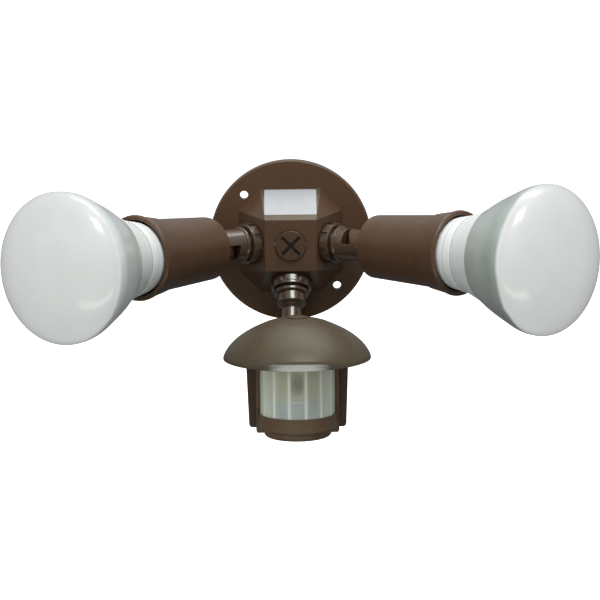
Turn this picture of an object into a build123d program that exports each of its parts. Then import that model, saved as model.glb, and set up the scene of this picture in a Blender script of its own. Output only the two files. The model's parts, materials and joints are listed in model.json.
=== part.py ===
from build123d import *
import os
from math import atan2, cos, degrees, radians, sin, sqrt

# Twin lamp security light with a motion sensor, on a round wall plate.
# Frame: origin at the centre of the wall face of the plate, X to the right,
# Z up, and the fixture stands out from the wall towards -Y. Millimetres.

# ---------------------------------------------------------------- driving sizes
running = 0.08              # radial clearance of a part that turns in its seat
seat_gap = 0.3              # space between pieces of different bodies
lap_gap = 0.15              # half the gap between the two lapped tongues
over = 1.0                  # a cut runs this far past the face that it opens
screw_tip_room = 0.5        # left in front of the tip of a screw in its hole
screw_slot_w = 0.9
screw_slot_depth = 1.2

# round cover plate
plate_edge = 10.75          # from the box screws' circle out to the edge at the wall
plate_draft_in = 0.7        # the front face is this much smaller in radius
plate_t = 6.1               # depth of the plate
plate_web = 2.9             # thickness of the plate inside its rim
rim_wall = 2.9              # width of the rim that meets the wall
rim_round = 0.9             # rounding of the front edge
screw_spacing = 88.9        # standard spacing of the two box screws
screw_hole_r = 2.8
screw_boss_r = 4.6          # round stops at the holes, level with the rim

# octagonal boss with sloped sides
boss_base = 35.2            # half width at the plate
boss_front = 17.3           # half width of the square front face
boss_cut = 14.8             # corner cut at the plate
boss_h = 26.0               # height above the plate
boss_wall = 2.6
hub_r = 12.6                # thickened ring round each threaded port
hub_depth = 7.0             # length of thread inside the face

# mounting gasket
gasket_gap = 0.2            # gasket to rim
gasket_lap = 6.45           # its inner edge inside the box screws' circle

# threaded conduit ports and what screws into them
thread_r = 10.3
thread_bevel = 0.8
locknut_r = 13.9
locknut_t = 5.9
locknut_band = 1.8          # plain band beyond the notches
locknut_band_in = 0.4       # the band is this much smaller in radius
locknut_notch_w = 3.2
locknut_notch_depth = 1.2
locknut_notches = 8
seal_t = 0.8                # rubber ring under the locknut
seal_r = 13.1

# closure plug in the front port
plug_proud = 1.8
plug_bevel = 0.6
plug_slot_l = 17.0
plug_slot_w = 2.2
plug_slot_depth = 1.4
plug_hub_side = 4.4

# blank label on the top slope
label_w = 35.2
label_l = 25.6
label_t = 0.15
label_edge = 0.7            # distance from the foot of the slope
label_corner = 0.8

# grounding screw inside the boss
ground_in = 15.5            # left of the middle and as far below it
ground_post_r = 4.0
ground_screw_r = 2.4
ground_head_r = 4.4
ground_head_t = 2.4
ground_post_h = 9.0
ground_hole_stop = 2.0      # metal left beyond the end of the screw's hole

# arm stems, the same left and right
left_swivel = 6.0           # how far each stem is turned in its port
right_swivel = -9.8
flange_start = 8.2          # from the face of the boss
flange_t = 2.4
flange_r = 11.9
flange_bevel = 0.5
stem_r = 11.0
stem_end = 16.2             # flat end of the half that stops short
tongue_r = 10.8             # rounding of the tongue about the knuckle
pivot_out = 27.8            # knuckle axis from the face of the boss
wire_bore_r = 3.2
wire_bore_stop = 1.0        # from the end of the wire bore to the knuckle's post
wire_bore_up = 5.0          # the wire bore runs in the tongue's own half
chamber_r = 7.6             # round wire chamber in the lap face
chamber_depth = 4.2
pivot_post_r = 3.8
screw_r = 2.0               # knuckle screw shank
screw_head_r = 3.6
screw_head_t = 2.6
screw_head_sink = 0.6       # the head lies this deep in the tongue
screw_stop = 2.2            # metal left beyond the end of the screw's hole

# lampholder shells
left_bend = 19.4            # angle at the knuckle between stem and lamp
right_bend = 10.9
shoulder_gap = 0.5          # holder's back face to the rounding of the tongue
holder_l = 74.5             # back face to mouth
holder_back_r = 21.1
holder_front_r = 23.8
holder_back_round = 1.6
bell_l = 19.2               # flared mouth
bell_step = 1.0             # radial step where the mouth begins
bell_r = 27.8               # outer radius of the lip
lip_l = 2.6                 # length of the lip
lip_swell = 0.5             # the lip stands this proud of the flare
lip_bevel = 1.0
mouth_r = 24.4              # inner radius of the lip
mouth_bevel = 0.6
holder_wall = 2.2
holder_back_t = 3.2
holder_tongue_r = 10.4      # half round section of the tongue

# medium screw socket inside the holder
socket_r = 17.6
socket_l = 46.0
shell_t = 0.5
lamp_thread_r = 13.0
shell_clear = 0.35          # lamp base to socket shell
contact_w = 7.0
contact_t = 0.6
contact_h = 2.6             # height of the sprung contact
contact_gap = 0.2           # contact to the sides of its recess
socket_screw_r = 1.5
socket_screw_y = 6.8        # from the axis, to either side of the contact
socket_screw_head_r = 2.8
socket_screw_head_t = 1.8
socket_screw_tip = 0.6      # screw ends this far inside the shell's back face
shell_opening = 10.0        # radius of the opening in the screw shell's floor
contact_pit = 2.0           # depth of the recess for the centre contact

# lamp
base_l = 25.0               # threaded shell of the lamp
base_wall = 0.6
base_groove = 0.55          # depth of the rolled thread
base_pitch = 3.63
base_rings_start = 1.2      # first ridge from the end of the shell
tip_r = 4.8
tip_h = 1.2
tip_bevel = 1.4
insulator_h = 3.2
insulator_in = 2.0          # length of the insulator inside the shell
insulator_lip = 0.6         # width of the rim round the tip
collar_l = 25.0             # length of the ballast housing inside the holder
collar_floor = 3.0
collar_foot_r = 15.5
collar_step_s = -12.0
collar_step_r = 20.6
collar_r = 23.4             # at the mouth
ridge_s = 11.5
ridge_r = 25.2
ridge_t = 0.6
ridge_step = 0.5
cup_s = 30.0
cup_r = 31.5
cup_wall = 1.6
glass_r = 47.5
glass_s = 70.3              # station of the largest radius
dome_h = 20.2
glass_t = 1.2
bulb_flare = 1.42           # fullness of the side, see bulb_envelope
tube_r = 4.6
coil_r = 17.0
coil_pitch = 21.0
coil_turns = 1.9
coil_leg = 5.0
knee_swell = 0.1            # the tube's bends are this much fuller in radius
board_r = 19.0
board_t = 1.6
board_s = 4.0
board_peg_r = 1.5           # pegs of the tube plate that carry the board
capacitor_r = 5.0
capacitor_l = 14.0
capacitor_x = 4.0
capacitor_y = 3.0
choke_w = 9.0
choke_d = 11.0
choke_h = 9.0
choke_x = -7.0
choke_y = -4.0
tube_plate_t = 2.0

# sensor arm
stem_bore_r = 4.2
cup_outer_r = 9.7
cup_end = 18.0
cup_round = 1.0
ball_s = 14.5               # ball centre from the face of the boss
ball_r = 8.0
waist_r = 5.2
neck_start = 7.4
neck_r = 6.6
neck_end = 30.0
neck_bore_r = 3.4
neck_boss_r = 9.2
neck_boss_start = 22.5      # from the ball centre
neck_hole_start = 16.0
neck_boss_end = 33.0

# sensor body
head_x = 3.4                # middle of the case from the neck's axis
head_axis_y = -68.0         # axis of the half round lens
band_r = 25.9
band_top = -106.4
band_h = 9.4
foot_r = 22.6
foot_h = 2.5
cap_h = 3.8
cap_side = 0.8              # straight side of the cap above its rounding
band_lap = 0.5              # the bands run this far into the front plate
lens_r = 24.7
lens_t = 0.9
lens_fit = 0.1              # lens to the bands round it
lens_lap = 2.0              # length of lens held inside each band
top_band = -67.0
head_top = -60.0
front_wall = 1.1
front_back_y = -56.4        # back face of the front housing
front_plate_t = 2.2
front_plate_w = 27.8
front_plate_low = -122.4
front_plate_corner = 1.5
optic_w = 21.0
optic_edge = 1.0            # plate left above and below the optic opening, inside the lens
seal_frame_t = 0.6
seal_drop = 2.0             # top of the seal below the top of the rear housing
wing_top_w = 34.7
wing_low_w = 32.5
wing_low = -119.2
wing_t = 2.2
wing_round = 2.5
rear_w = 27.2
rear_back_y = -34.5
rear_top = -58.0
rear_low = -116.0
rear_wall = 2.0
rear_round = 3.0

# hood
hood_y = -70.0
hood_z = -69.3
hood_r = 48.8
hood_h = 27.7
hood_shape = 1.65           # power of its outline, 2 is an ellipse
dome_steps = 8              # its outline is a smooth line through this many spans
hood_wall = 2.0
hood_cut_y = -53.0
hood_rest_gap = 0.1         # above the top of the wings
hood_collar_r = 21.0
hood_post_r = 3.2
hood_collar_t = 2.0
hood_screw_head_r = 2.4
hood_screw_head_t = 1.6
hood_screw_grip = 8.0
hood_post_x = 12.0
hood_screw_r = 1.3

# electronics
pcb_side_gap = 2.2          # board to the side walls of the case
pcb_end_gap = 0.5           # board to the case's columns
pcb_t = 1.6
pcb_y = -54.4
post_r = 2.6
post_in = 3.0               # from the edges of the board
board_screw_r = 1.2
board_screw_grip = 5.5      # length of the screw behind the board
board_hole_gap = 0.1
board_head_r = 2.2
board_head_t = 1.2
detector_z = -86.0
detector_r = 4.6
detector_h = 4.2
detector_leg = 4.4
detector_legs_r = 2.5       # radius of the circle of its legs
detector_flange_t = 0.6
detector_can_in = 0.5       # the can is this much smaller in radius than its flange
detector_window_w = 4.0
detector_window_h = 3.0
detector_window_pit = 0.3
leg_r = 0.3
relay_w = 19.0
relay_d = 14.6
relay_h = 15.4
relay_x = -12.5
relay_z = -84.0
relay_round = 0.8
cell_r = 2.5
cell_h = 2.0
cell_z = -101.5
cell_leg = 3.0
cell_legs_r = 1.5           # radius of the circle of its legs
pot_x = 13.0
pot_w = 9.8
pot_h = 5.0
pot_y = -45.0
dial_r = 4.6
dial_h = 4.2
dial_grips = 12
dial_grip_r = 0.45
dial_slot_w = 1.0
dial_slot_in = 1.0          # the slot ends this far inside the rim
dial_slot_depth = 1.2
dial_shaft_r = 1.6
dial_shaft_stop = 1.2       # the shaft ends this far below the top of its pot
dial_bore = 0.1
case_screw_r = 1.5
case_screw_stop = 0.8       # plate left in front of a case screw's tip
case_head_r = 2.9
case_head_t = 1.8
case_head_gap = 0.2         # head to its recess, at the side and below the surface
case_slot_l = 3.4
case_slot_w = 0.7
case_slot_depth = 0.9
case_column_r = 3.0
case_column_in = 0.4        # the columns overlap the walls a little
case_column_drop = 1.5      # upper columns below the case's top wall

# ---------------------------------------------------------------- shared frames
wall = Plane.XZ                     # local x right, y up, z out of the wall
face_y = -plate_t                   # front face of the plate
slope = (boss_base - boss_front) / boss_h
slope_len = sqrt(1 + slope ** 2)
slope_mid = (boss_base + boss_front) / 2
lean = (slope / slope_len, 1 / slope_len)   # out of the wall, sideways


def port_plane(across, up, tongue_side, swivel=0):
    """Plane on a sloped side of the boss: z outwards, x to the tongue's side."""
    origin = (across * slope_mid, face_y - boss_h / 2, up * slope_mid)
    outward = Vector(across * lean[1], -lean[0], up * lean[1])
    turned = Vector(tongue_side).rotate(Axis((0, 0, 0), outward), swivel)
    return Plane(origin=origin, x_dir=turned, z_dir=outward)


def profile_plane(frame):
    """Plane through the axis of a frame: local x is the radius, y the length."""
    return Plane(origin=frame.origin, x_dir=frame.x_dir, z_dir=frame.x_dir.cross(frame.z_dir))


def axis_of(frame):
    return Axis(frame.origin, frame.z_dir)


def save(part, name):
    part.label = name
    export_step(part, f"parts/{name}.step")


def turned_piece(frame, points):
    """Solid of revolution about the frame's axis from (radius, length) corners."""
    with BuildPart() as piece:
        with BuildSketch(profile_plane(frame)):
            with BuildLine():
                Polyline(*points, close=True)
            make_face()
        revolve(axis=axis_of(frame))
    return piece.part


os.makedirs("parts", exist_ok=True)

left_port = port_plane(-1, 0, (0, 0, 1), left_swivel)
right_port = port_plane(1, 0, (0, 0, -1), right_swivel)
sensor_port = port_plane(0, -1, (1, 0, 0))
label_side = port_plane(0, 1, (1, 0, 0))
ports = {"left": left_port, "right": right_port, "sensor": sensor_port}


def lamp_plane(port, bend):
    """Plane on the knuckle axis: z along the lamp, x as on the stem."""
    pivot = port.origin + port.z_dir * pivot_out
    along = port.z_dir.rotate(Axis((0, 0, 0), port.x_dir), bend)
    return Plane(origin=pivot, x_dir=port.x_dir, z_dir=along)


lamps = {
    "left": lamp_plane(left_port, left_bend),
    "right": lamp_plane(right_port, right_bend),
}
socket_screws_at = [(0, socket_screw_y), (0, -socket_screw_y)]

# stations along the lamp's axis, counted from the knuckle
back = tongue_r + shoulder_gap      # lampholder's back face
mouth = back + holder_l
bell = mouth - bell_l
seat = back + holder_back_t         # the socket stands here
socket_front = seat + socket_l
lamp_foot = socket_front + seat_gap             # end of the ballast housing
lamp_zero = lamp_foot + collar_l                # from here the lamp stands in view
insulator_foot = lamp_foot - base_l - insulator_h
contact_top = insulator_foot - tip_h - seat_gap
contact_floor = contact_top - contact_h
shell_seat = contact_floor + contact_pit        # floor of the screw shell
cup = lamp_zero + cup_s
plate_at = lamp_zero + ridge_s + cup_wall       # back of the tube plate
plate_rim = ridge_r - ridge_step - cup_wall
board_low = lamp_zero + board_s

shell_out = lamp_thread_r + shell_clear + shell_t
base_core_r = lamp_thread_r - base_groove
base_bore_r = base_core_r - base_wall


# ---------------------------------------------------------------- cover plate
def boss_solid(half_base, half_front, cut, height, start):
    """Square frustum whose corners are cut down to its front corners."""
    with BuildPart() as blank:
        with BuildSketch(wall.offset(start)):
            Rectangle(2 * half_base, 2 * half_base)
        with BuildSketch(wall.offset(start + height)):
            Rectangle(2 * half_front, 2 * half_front)
        loft(ruled=True)
        for across, up in ((1, 1), (-1, 1), (-1, -1), (1, -1)):
            foot_a = Vector(across * half_base, -start, up * (half_base - cut))
            foot_b = Vector(across * (half_base - cut), -start, up * half_base)
            peak = Vector(across * half_front, -start - height, up * half_front)
            outward = (foot_b - foot_a).cross(peak - foot_a)
            if outward.dot(Vector(across, 0, up)) < 0:
                outward = outward * -1
            split(bisect_by=Plane(origin=foot_a, z_dir=outward), keep=Keep.BOTTOM)
    return blank.part


wall_across = boss_wall * slope_len
inner_h = boss_h - boss_wall
inner_base = boss_base - wall_across
inner_front = boss_front + slope * boss_wall - wall_across
boss_outer = boss_solid(boss_base, boss_front, boss_cut, boss_h, plate_t)
boss_inner = boss_solid(inner_base, inner_front, boss_cut, inner_h, plate_t)
gasket_recess = plate_t - plate_web
port_r = thread_r + running
screw_circle = screw_spacing / 2
plate_r = screw_circle + plate_edge             # at the wall
gasket_bore = screw_circle - gasket_lap
hole_at = screw_circle * cos(radians(45))
screw_places = [(-hole_at, hole_at), (hole_at, -hole_at)]
plate_draft = degrees(atan2(plate_draft_in, plate_t))
ground_at = (-ground_in, -ground_in)

with BuildPart() as hubs:
    for port in ports.values():
        with BuildSketch(port):
            Circle(hub_r)
        extrude(amount=-hub_depth)
    with BuildSketch(wall.offset(plate_t + boss_h)):
        Circle(hub_r)
    extrude(amount=-hub_depth)
    with BuildSketch(wall.offset(plate_t)):
        with Locations(ground_at):
            Circle(ground_post_r)
    extrude(amount=inner_h)
    add(boss_outer, mode=Mode.INTERSECT)

with BuildPart() as cover_plate:
    with BuildSketch(wall):
        Circle(plate_r)
    extrude(amount=plate_t, taper=plate_draft)
    front_edge = cover_plate.edges().filter_by(GeomType.CIRCLE).sort_by(Axis.Y)[0]
    fillet(front_edge, radius=rim_round)
    add(boss_outer)
    with BuildSketch(wall):
        Circle(plate_r - rim_wall)
    extrude(amount=gasket_recess, mode=Mode.SUBTRACT)
    with BuildSketch(wall):
        Rectangle(2 * inner_base, 2 * inner_base)
        chamfer(vertices(), length=boss_cut)
    extrude(amount=plate_t, mode=Mode.SUBTRACT)
    add(boss_inner, mode=Mode.SUBTRACT)
    add(hubs.part)
    with BuildSketch(wall):
        with Locations(*screw_places):
            Circle(screw_boss_r)
    extrude(amount=plate_t - plate_web / 2)
    for port in ports.values():
        with BuildSketch(port.offset(over)):
            Circle(port_r)
        extrude(amount=-hub_depth - 2 * over, mode=Mode.SUBTRACT)
    with BuildSketch(wall.offset(plate_t + boss_h)):
        Circle(port_r)
    extrude(amount=-hub_depth - over, mode=Mode.SUBTRACT)
    with BuildSketch(wall):
        with Locations(*screw_places):
            Circle(screw_hole_r)
    extrude(amount=plate_t, mode=Mode.SUBTRACT)
    ground_level = plate_t + inner_h - ground_post_h
    with BuildSketch(wall):
        with Locations(ground_at):
            Circle(ground_post_r + over)
    extrude(amount=ground_level, mode=Mode.SUBTRACT)
    with BuildSketch(wall):
        with Locations(ground_at):
            Circle(ground_screw_r)
    extrude(amount=ground_level + ground_post_h - ground_hole_stop, mode=Mode.SUBTRACT)
save(cover_plate.part, "cover_plate")

with BuildPart() as mounting_gasket:
    with BuildSketch(wall):
        Circle(plate_r - rim_wall - gasket_gap)
        Circle(gasket_bore, mode=Mode.SUBTRACT)
        with Locations(*screw_places):
            Circle(screw_boss_r + gasket_gap, mode=Mode.SUBTRACT)
    extrude(amount=gasket_recess)
save(mounting_gasket.part, "mounting_gasket")

with BuildPart() as centre_plug:
    with BuildSketch(wall.offset(plate_t + boss_h - hub_depth)):
        Circle(thread_r)
    extrude(amount=hub_depth + plug_proud)
    plug_rim = centre_plug.edges().filter_by(GeomType.CIRCLE).sort_by(Axis.Y)[0]
    chamfer(plug_rim, length=plug_bevel)
    with BuildSketch(wall.offset(plate_t + boss_h + plug_proud)):
        for angle in (45, -45):
            Rectangle(plug_slot_l, plug_slot_w, rotation=angle)
        Rectangle(plug_hub_side, plug_hub_side)
    extrude(amount=-plug_slot_depth, mode=Mode.SUBTRACT)
save(centre_plug.part, "centre_plug")

label_shift = slope_len * boss_h / 2 - label_edge - label_l / 2
with BuildPart() as rating_label:
    with BuildSketch(label_side):
        with Locations((0, label_shift)):
            Rectangle(label_w, label_l)
        fillet(vertices(), radius=label_corner)
    extrude(amount=label_t)
save(rating_label.part, "rating_label")

with BuildPart() as ground_screw:
    with BuildSketch(wall.offset(ground_level)):
        with Locations(ground_at):
            RegularPolygon(ground_head_r, 6)
    extrude(amount=-ground_head_t)
    with BuildSketch(wall.offset(ground_level)):
        with Locations(ground_at):
            Circle(ground_screw_r)
    extrude(amount=ground_post_h - ground_hole_stop)
    with BuildSketch(wall.offset(ground_level - ground_head_t)):
        with Locations(ground_at):
            Rectangle(2 * ground_head_r, screw_slot_w)
    extrude(amount=screw_slot_depth, mode=Mode.SUBTRACT)
save(ground_screw.part, "ground_screw")

# ---------------------------------------------------------------- locknuts
for name, port in ports.items():
    with BuildPart() as locknut:
        with BuildSketch(port.offset(seal_t)):
            Circle(locknut_r)
            with PolarLocations(locknut_r, locknut_notches, start_angle=180 / locknut_notches):
                Rectangle(2 * locknut_notch_depth, locknut_notch_w, mode=Mode.SUBTRACT)
        extrude(amount=locknut_t - locknut_band)
        with BuildSketch(port.offset(seal_t + locknut_t - locknut_band)):
            Circle(locknut_r - locknut_band_in)
        extrude(amount=locknut_band)
        with BuildSketch(port.offset(seal_t)):
            Circle(port_r)
        extrude(amount=locknut_t, mode=Mode.SUBTRACT)
    save(locknut.part, f"{name}_locknut")

    with BuildPart() as locknut_seal:
        with BuildSketch(port):
            Circle(seal_r)
            Circle(port_r, mode=Mode.SUBTRACT)
        extrude(amount=seal_t)
    save(locknut_seal.part, f"{name}_locknut_seal")

# ---------------------------------------------------------------- arm stems
screw_top = stem_r - screw_stop             # depth of the screw's hole in the stem
head_seat = holder_tongue_r - screw_head_t - screw_head_sink
for name in ("left", "right"):
    port = ports[name]
    pivot = Plane(origin=port.origin + port.z_dir * pivot_out, x_dir=port.z_dir, z_dir=port.x_dir)
    with BuildPart() as stem:
        with BuildSketch(profile_plane(port)):
            with BuildLine():
                Polyline(
                    (0, -hub_depth),
                    (thread_r - thread_bevel, -hub_depth),
                    (thread_r, -hub_depth + thread_bevel),
                    (thread_r, flange_start),
                    (flange_r - flange_bevel, flange_start),
                    (flange_r, flange_start + flange_bevel),
                    (flange_r, flange_start + flange_t - flange_bevel),
                    (flange_r - flange_bevel, flange_start + flange_t),
                    (stem_r, flange_start + flange_t),
                    (stem_r, pivot_out + tongue_r),
                    (0, pivot_out + tongue_r),
                    close=True,
                )
            make_face()
        revolve(axis=axis_of(port))
        # the half that stops short leaves room for the lampholder's tongue
        with BuildSketch(pivot.offset(lap_gap)):
            with Locations((stem_end - pivot_out, 0)):
                Rectangle(3 * stem_r + tongue_r, 4 * stem_r, align=(Align.MIN, Align.CENTER))
        extrude(amount=-2 * stem_r, mode=Mode.SUBTRACT)
        # the tongue ends round about the knuckle axis
        with BuildSketch(pivot):
            Rectangle(2 * tongue_r, 4 * stem_r, align=(Align.MIN, Align.CENTER))
            Circle(tongue_r, mode=Mode.SUBTRACT)
        extrude(amount=2 * stem_r, both=True, mode=Mode.SUBTRACT)
        with BuildSketch(pivot.offset(lap_gap)):
            Circle(chamber_r)
            Circle(pivot_post_r, mode=Mode.SUBTRACT)
        extrude(amount=chamber_depth, mode=Mode.SUBTRACT)
        with BuildSketch(pivot):
            Circle(screw_r)
        extrude(amount=screw_top, mode=Mode.SUBTRACT)
        with BuildSketch(port.offset(-hub_depth)):
            with Locations((wire_bore_up, 0)):
                Circle(wire_bore_r)
        extrude(amount=hub_depth + pivot_out - pivot_post_r - wire_bore_stop, mode=Mode.SUBTRACT)
    save(stem.part, f"{name}_stem")

    with BuildPart() as knuckle_screw:
        with BuildSketch(pivot.offset(screw_top)):
            Circle(screw_r)
        extrude(amount=-screw_top - head_seat)
        with BuildSketch(pivot.offset(-head_seat)):
            Circle(screw_head_r)
        extrude(amount=-screw_head_t)
        with BuildSketch(pivot.offset(-head_seat - screw_head_t)):
            Rectangle(2 * screw_head_r + over, screw_slot_w)
            Rectangle(screw_slot_w, 2 * screw_head_r + over)
        extrude(amount=screw_slot_depth, mode=Mode.SUBTRACT)
    save(knuckle_screw.part, f"{name}_knuckle_screw")

# ---------------------------------------------------------------- lampholders
for name, lamp in lamps.items():
    pivot = Plane(origin=lamp.origin, x_dir=lamp.z_dir, z_dir=lamp.x_dir)
    with BuildPart() as tongue:
        with BuildSketch(lamp.offset(-tongue_r)):
            Circle(holder_tongue_r)
        extrude(amount=tongue_r + back + holder_back_t)
        with BuildSketch(pivot.offset(-lap_gap)):
            with Locations((back, 0)):
                Rectangle(3 * tongue_r + back, 4 * stem_r, align=(Align.MAX, Align.CENTER))
        extrude(amount=2 * stem_r, mode=Mode.SUBTRACT)
        with BuildSketch(pivot):
            Rectangle(2 * tongue_r, 4 * stem_r, align=(Align.MAX, Align.CENTER))
            Circle(tongue_r, mode=Mode.SUBTRACT)
        extrude(amount=2 * stem_r, both=True, mode=Mode.SUBTRACT)

    with BuildPart() as lampholder:
        with BuildSketch(profile_plane(lamp)):
            with BuildLine():
                Polyline(
                    (0, back),
                    (holder_back_r - holder_back_round, back),
                    (holder_back_r, back + holder_back_round),
                    (holder_front_r, bell),
                    (holder_front_r + bell_step, bell + bell_step),
                    (bell_r - lip_swell, mouth - lip_l),
                    (bell_r, mouth - lip_l + lip_swell),
                    (bell_r - lip_bevel / 4, mouth - lip_bevel * 3 / 4),
                    (bell_r - lip_bevel, mouth),
                    (mouth_r + mouth_bevel, mouth),
                    (mouth_r, mouth - mouth_bevel),
                    (holder_front_r + bell_step - holder_wall, bell + bell_step),
                    (holder_front_r - holder_wall, bell),
                    (holder_back_r - holder_wall, back + holder_back_t),
                    (0, back + holder_back_t),
                    close=True,
                )
            make_face()
        revolve(axis=axis_of(lamp))
        add(tongue.part)
        with BuildSketch(pivot.offset(-lap_gap)):
            Circle(chamber_r)
            Circle(pivot_post_r, mode=Mode.SUBTRACT)
        extrude(amount=-chamber_depth, mode=Mode.SUBTRACT)
        with BuildSketch(pivot):
            Circle(screw_r + running)
        extrude(amount=-2 * stem_r, mode=Mode.SUBTRACT)
        with BuildSketch(pivot.offset(-head_seat)):
            Circle(screw_head_r + running)
        extrude(amount=-stem_r, mode=Mode.SUBTRACT)
        with BuildSketch(lamp.offset(pivot_post_r + wire_bore_stop)):
            with Locations((-wire_bore_up, 0)):
                Circle(wire_bore_r)
        extrude(amount=back + holder_back_t, mode=Mode.SUBTRACT)
        with BuildSketch(lamp.offset(back + holder_back_t)):
            with Locations(*socket_screws_at):
                Circle(socket_screw_r)
        extrude(amount=-holder_back_t, mode=Mode.SUBTRACT)
    save(lampholder.part, f"{name}_lampholder")

    with BuildPart() as socket:
        with BuildSketch(lamp.offset(seat)):
            Circle(socket_r)
        extrude(amount=socket_l)
        with BuildSketch(lamp.offset(shell_seat)):
            Circle(shell_out)
        extrude(amount=socket_l, mode=Mode.SUBTRACT)
        with BuildSketch(lamp.offset(seat)):
            with Locations(*socket_screws_at):
                Circle(socket_screw_r)
        extrude(amount=shell_seat - seat, mode=Mode.SUBTRACT)
        with BuildSketch(lamp.offset(shell_seat)):
            Rectangle(contact_w, contact_w)
            with Locations(*socket_screws_at):
                Circle(socket_screw_head_r + running)
        extrude(amount=-contact_pit, mode=Mode.SUBTRACT)
        with BuildSketch(lamp.offset(seat)):
            with Locations((-wire_bore_up, 0)):
                Circle(wire_bore_r)
        extrude(amount=contact_floor - seat, mode=Mode.SUBTRACT)
    save(socket.part, f"{name}_socket")

    with BuildPart() as socket_screws:
        with BuildSketch(lamp.offset(back + socket_screw_tip)):
            with Locations(*socket_screws_at):
                Circle(socket_screw_r)
        extrude(amount=contact_floor - back - socket_screw_tip)
        with BuildSketch(lamp.offset(contact_floor)):
            with Locations(*socket_screws_at):
                Circle(socket_screw_head_r)
        extrude(amount=socket_screw_head_t)
        with BuildSketch(lamp.offset(contact_floor + socket_screw_head_t)):
            with Locations(*socket_screws_at):
                Rectangle(2 * socket_screw_head_r, screw_slot_w)
        extrude(amount=-socket_screw_head_t / 2, mode=Mode.SUBTRACT)
    save(socket_screws.part, f"{name}_socket_screws")

    with BuildPart() as socket_shell:
        with BuildSketch(lamp.offset(shell_seat)):
            Circle(shell_out)
        extrude(amount=socket_front - shell_seat)
        with BuildSketch(lamp.offset(shell_seat + shell_t)):
            Circle(shell_out - shell_t)
        extrude(amount=socket_l, mode=Mode.SUBTRACT)
        with BuildSketch(lamp.offset(shell_seat)):
            Circle(shell_opening)
        extrude(amount=2 * shell_t, mode=Mode.SUBTRACT)
    save(socket_shell.part, f"{name}_socket_shell")

    # the lamp's tip sits just in front of the centre contact
    contact_half = contact_w / 2 - contact_gap
    with BuildPart() as socket_contact:
        with BuildSketch(Plane(origin=lamp.origin, x_dir=lamp.y_dir, z_dir=lamp.x_dir)):
            with BuildLine():
                Polyline(
                    (-contact_half, contact_floor),
                    (contact_half, contact_floor),
                    (contact_half, contact_floor + contact_t),
                    (-contact_half + 2 * contact_t, contact_floor + contact_t),
                    (contact_half - contact_t, contact_top),
                    (0, contact_top),
                    (-contact_half, contact_floor + 2 * contact_t),
                    close=True,
                )
            make_face()
        extrude(amount=contact_half - 2 * contact_gap, both=True)
    save(socket_contact.part, f"{name}_socket_contact")

# ---------------------------------------------------------------- lamps
def bulb_envelope(frame, cup, inset):
    """Solid of the reflector bulb, drawn in by the inset: a flared side, then a
    flattened dome. The side swells as 1 - (1 - t) ** bulb_flare along its length."""
    radius = glass_r - inset
    low_r = cup_r - inset
    length = glass_s - cup_s
    widest = cup + length
    rise = dome_h - inset
    quarter = 0.5523            # handle of a quarter ellipse, of its radius
    side = []
    for share in (0, 0.33, 0.67, 1):
        swell = 1 - (1 - share) ** bulb_flare
        side.append((low_r + (radius - low_r) * swell, cup + length * share))
    with BuildPart() as solid:
        with BuildSketch(profile_plane(frame)):
            with BuildLine():
                Spline(*side, tangents=((bulb_flare * (radius - low_r), length), (0, 1)))
                Bezier(
                    (radius, widest),
                    (radius, widest + quarter * rise),
                    (quarter * radius, widest + rise),
                    (0, widest + rise),
                )
                Polyline((0, widest + rise), (0, cup), (low_r, cup))
            make_face()
        revolve(axis=axis_of(frame))
    return solid.part


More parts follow.
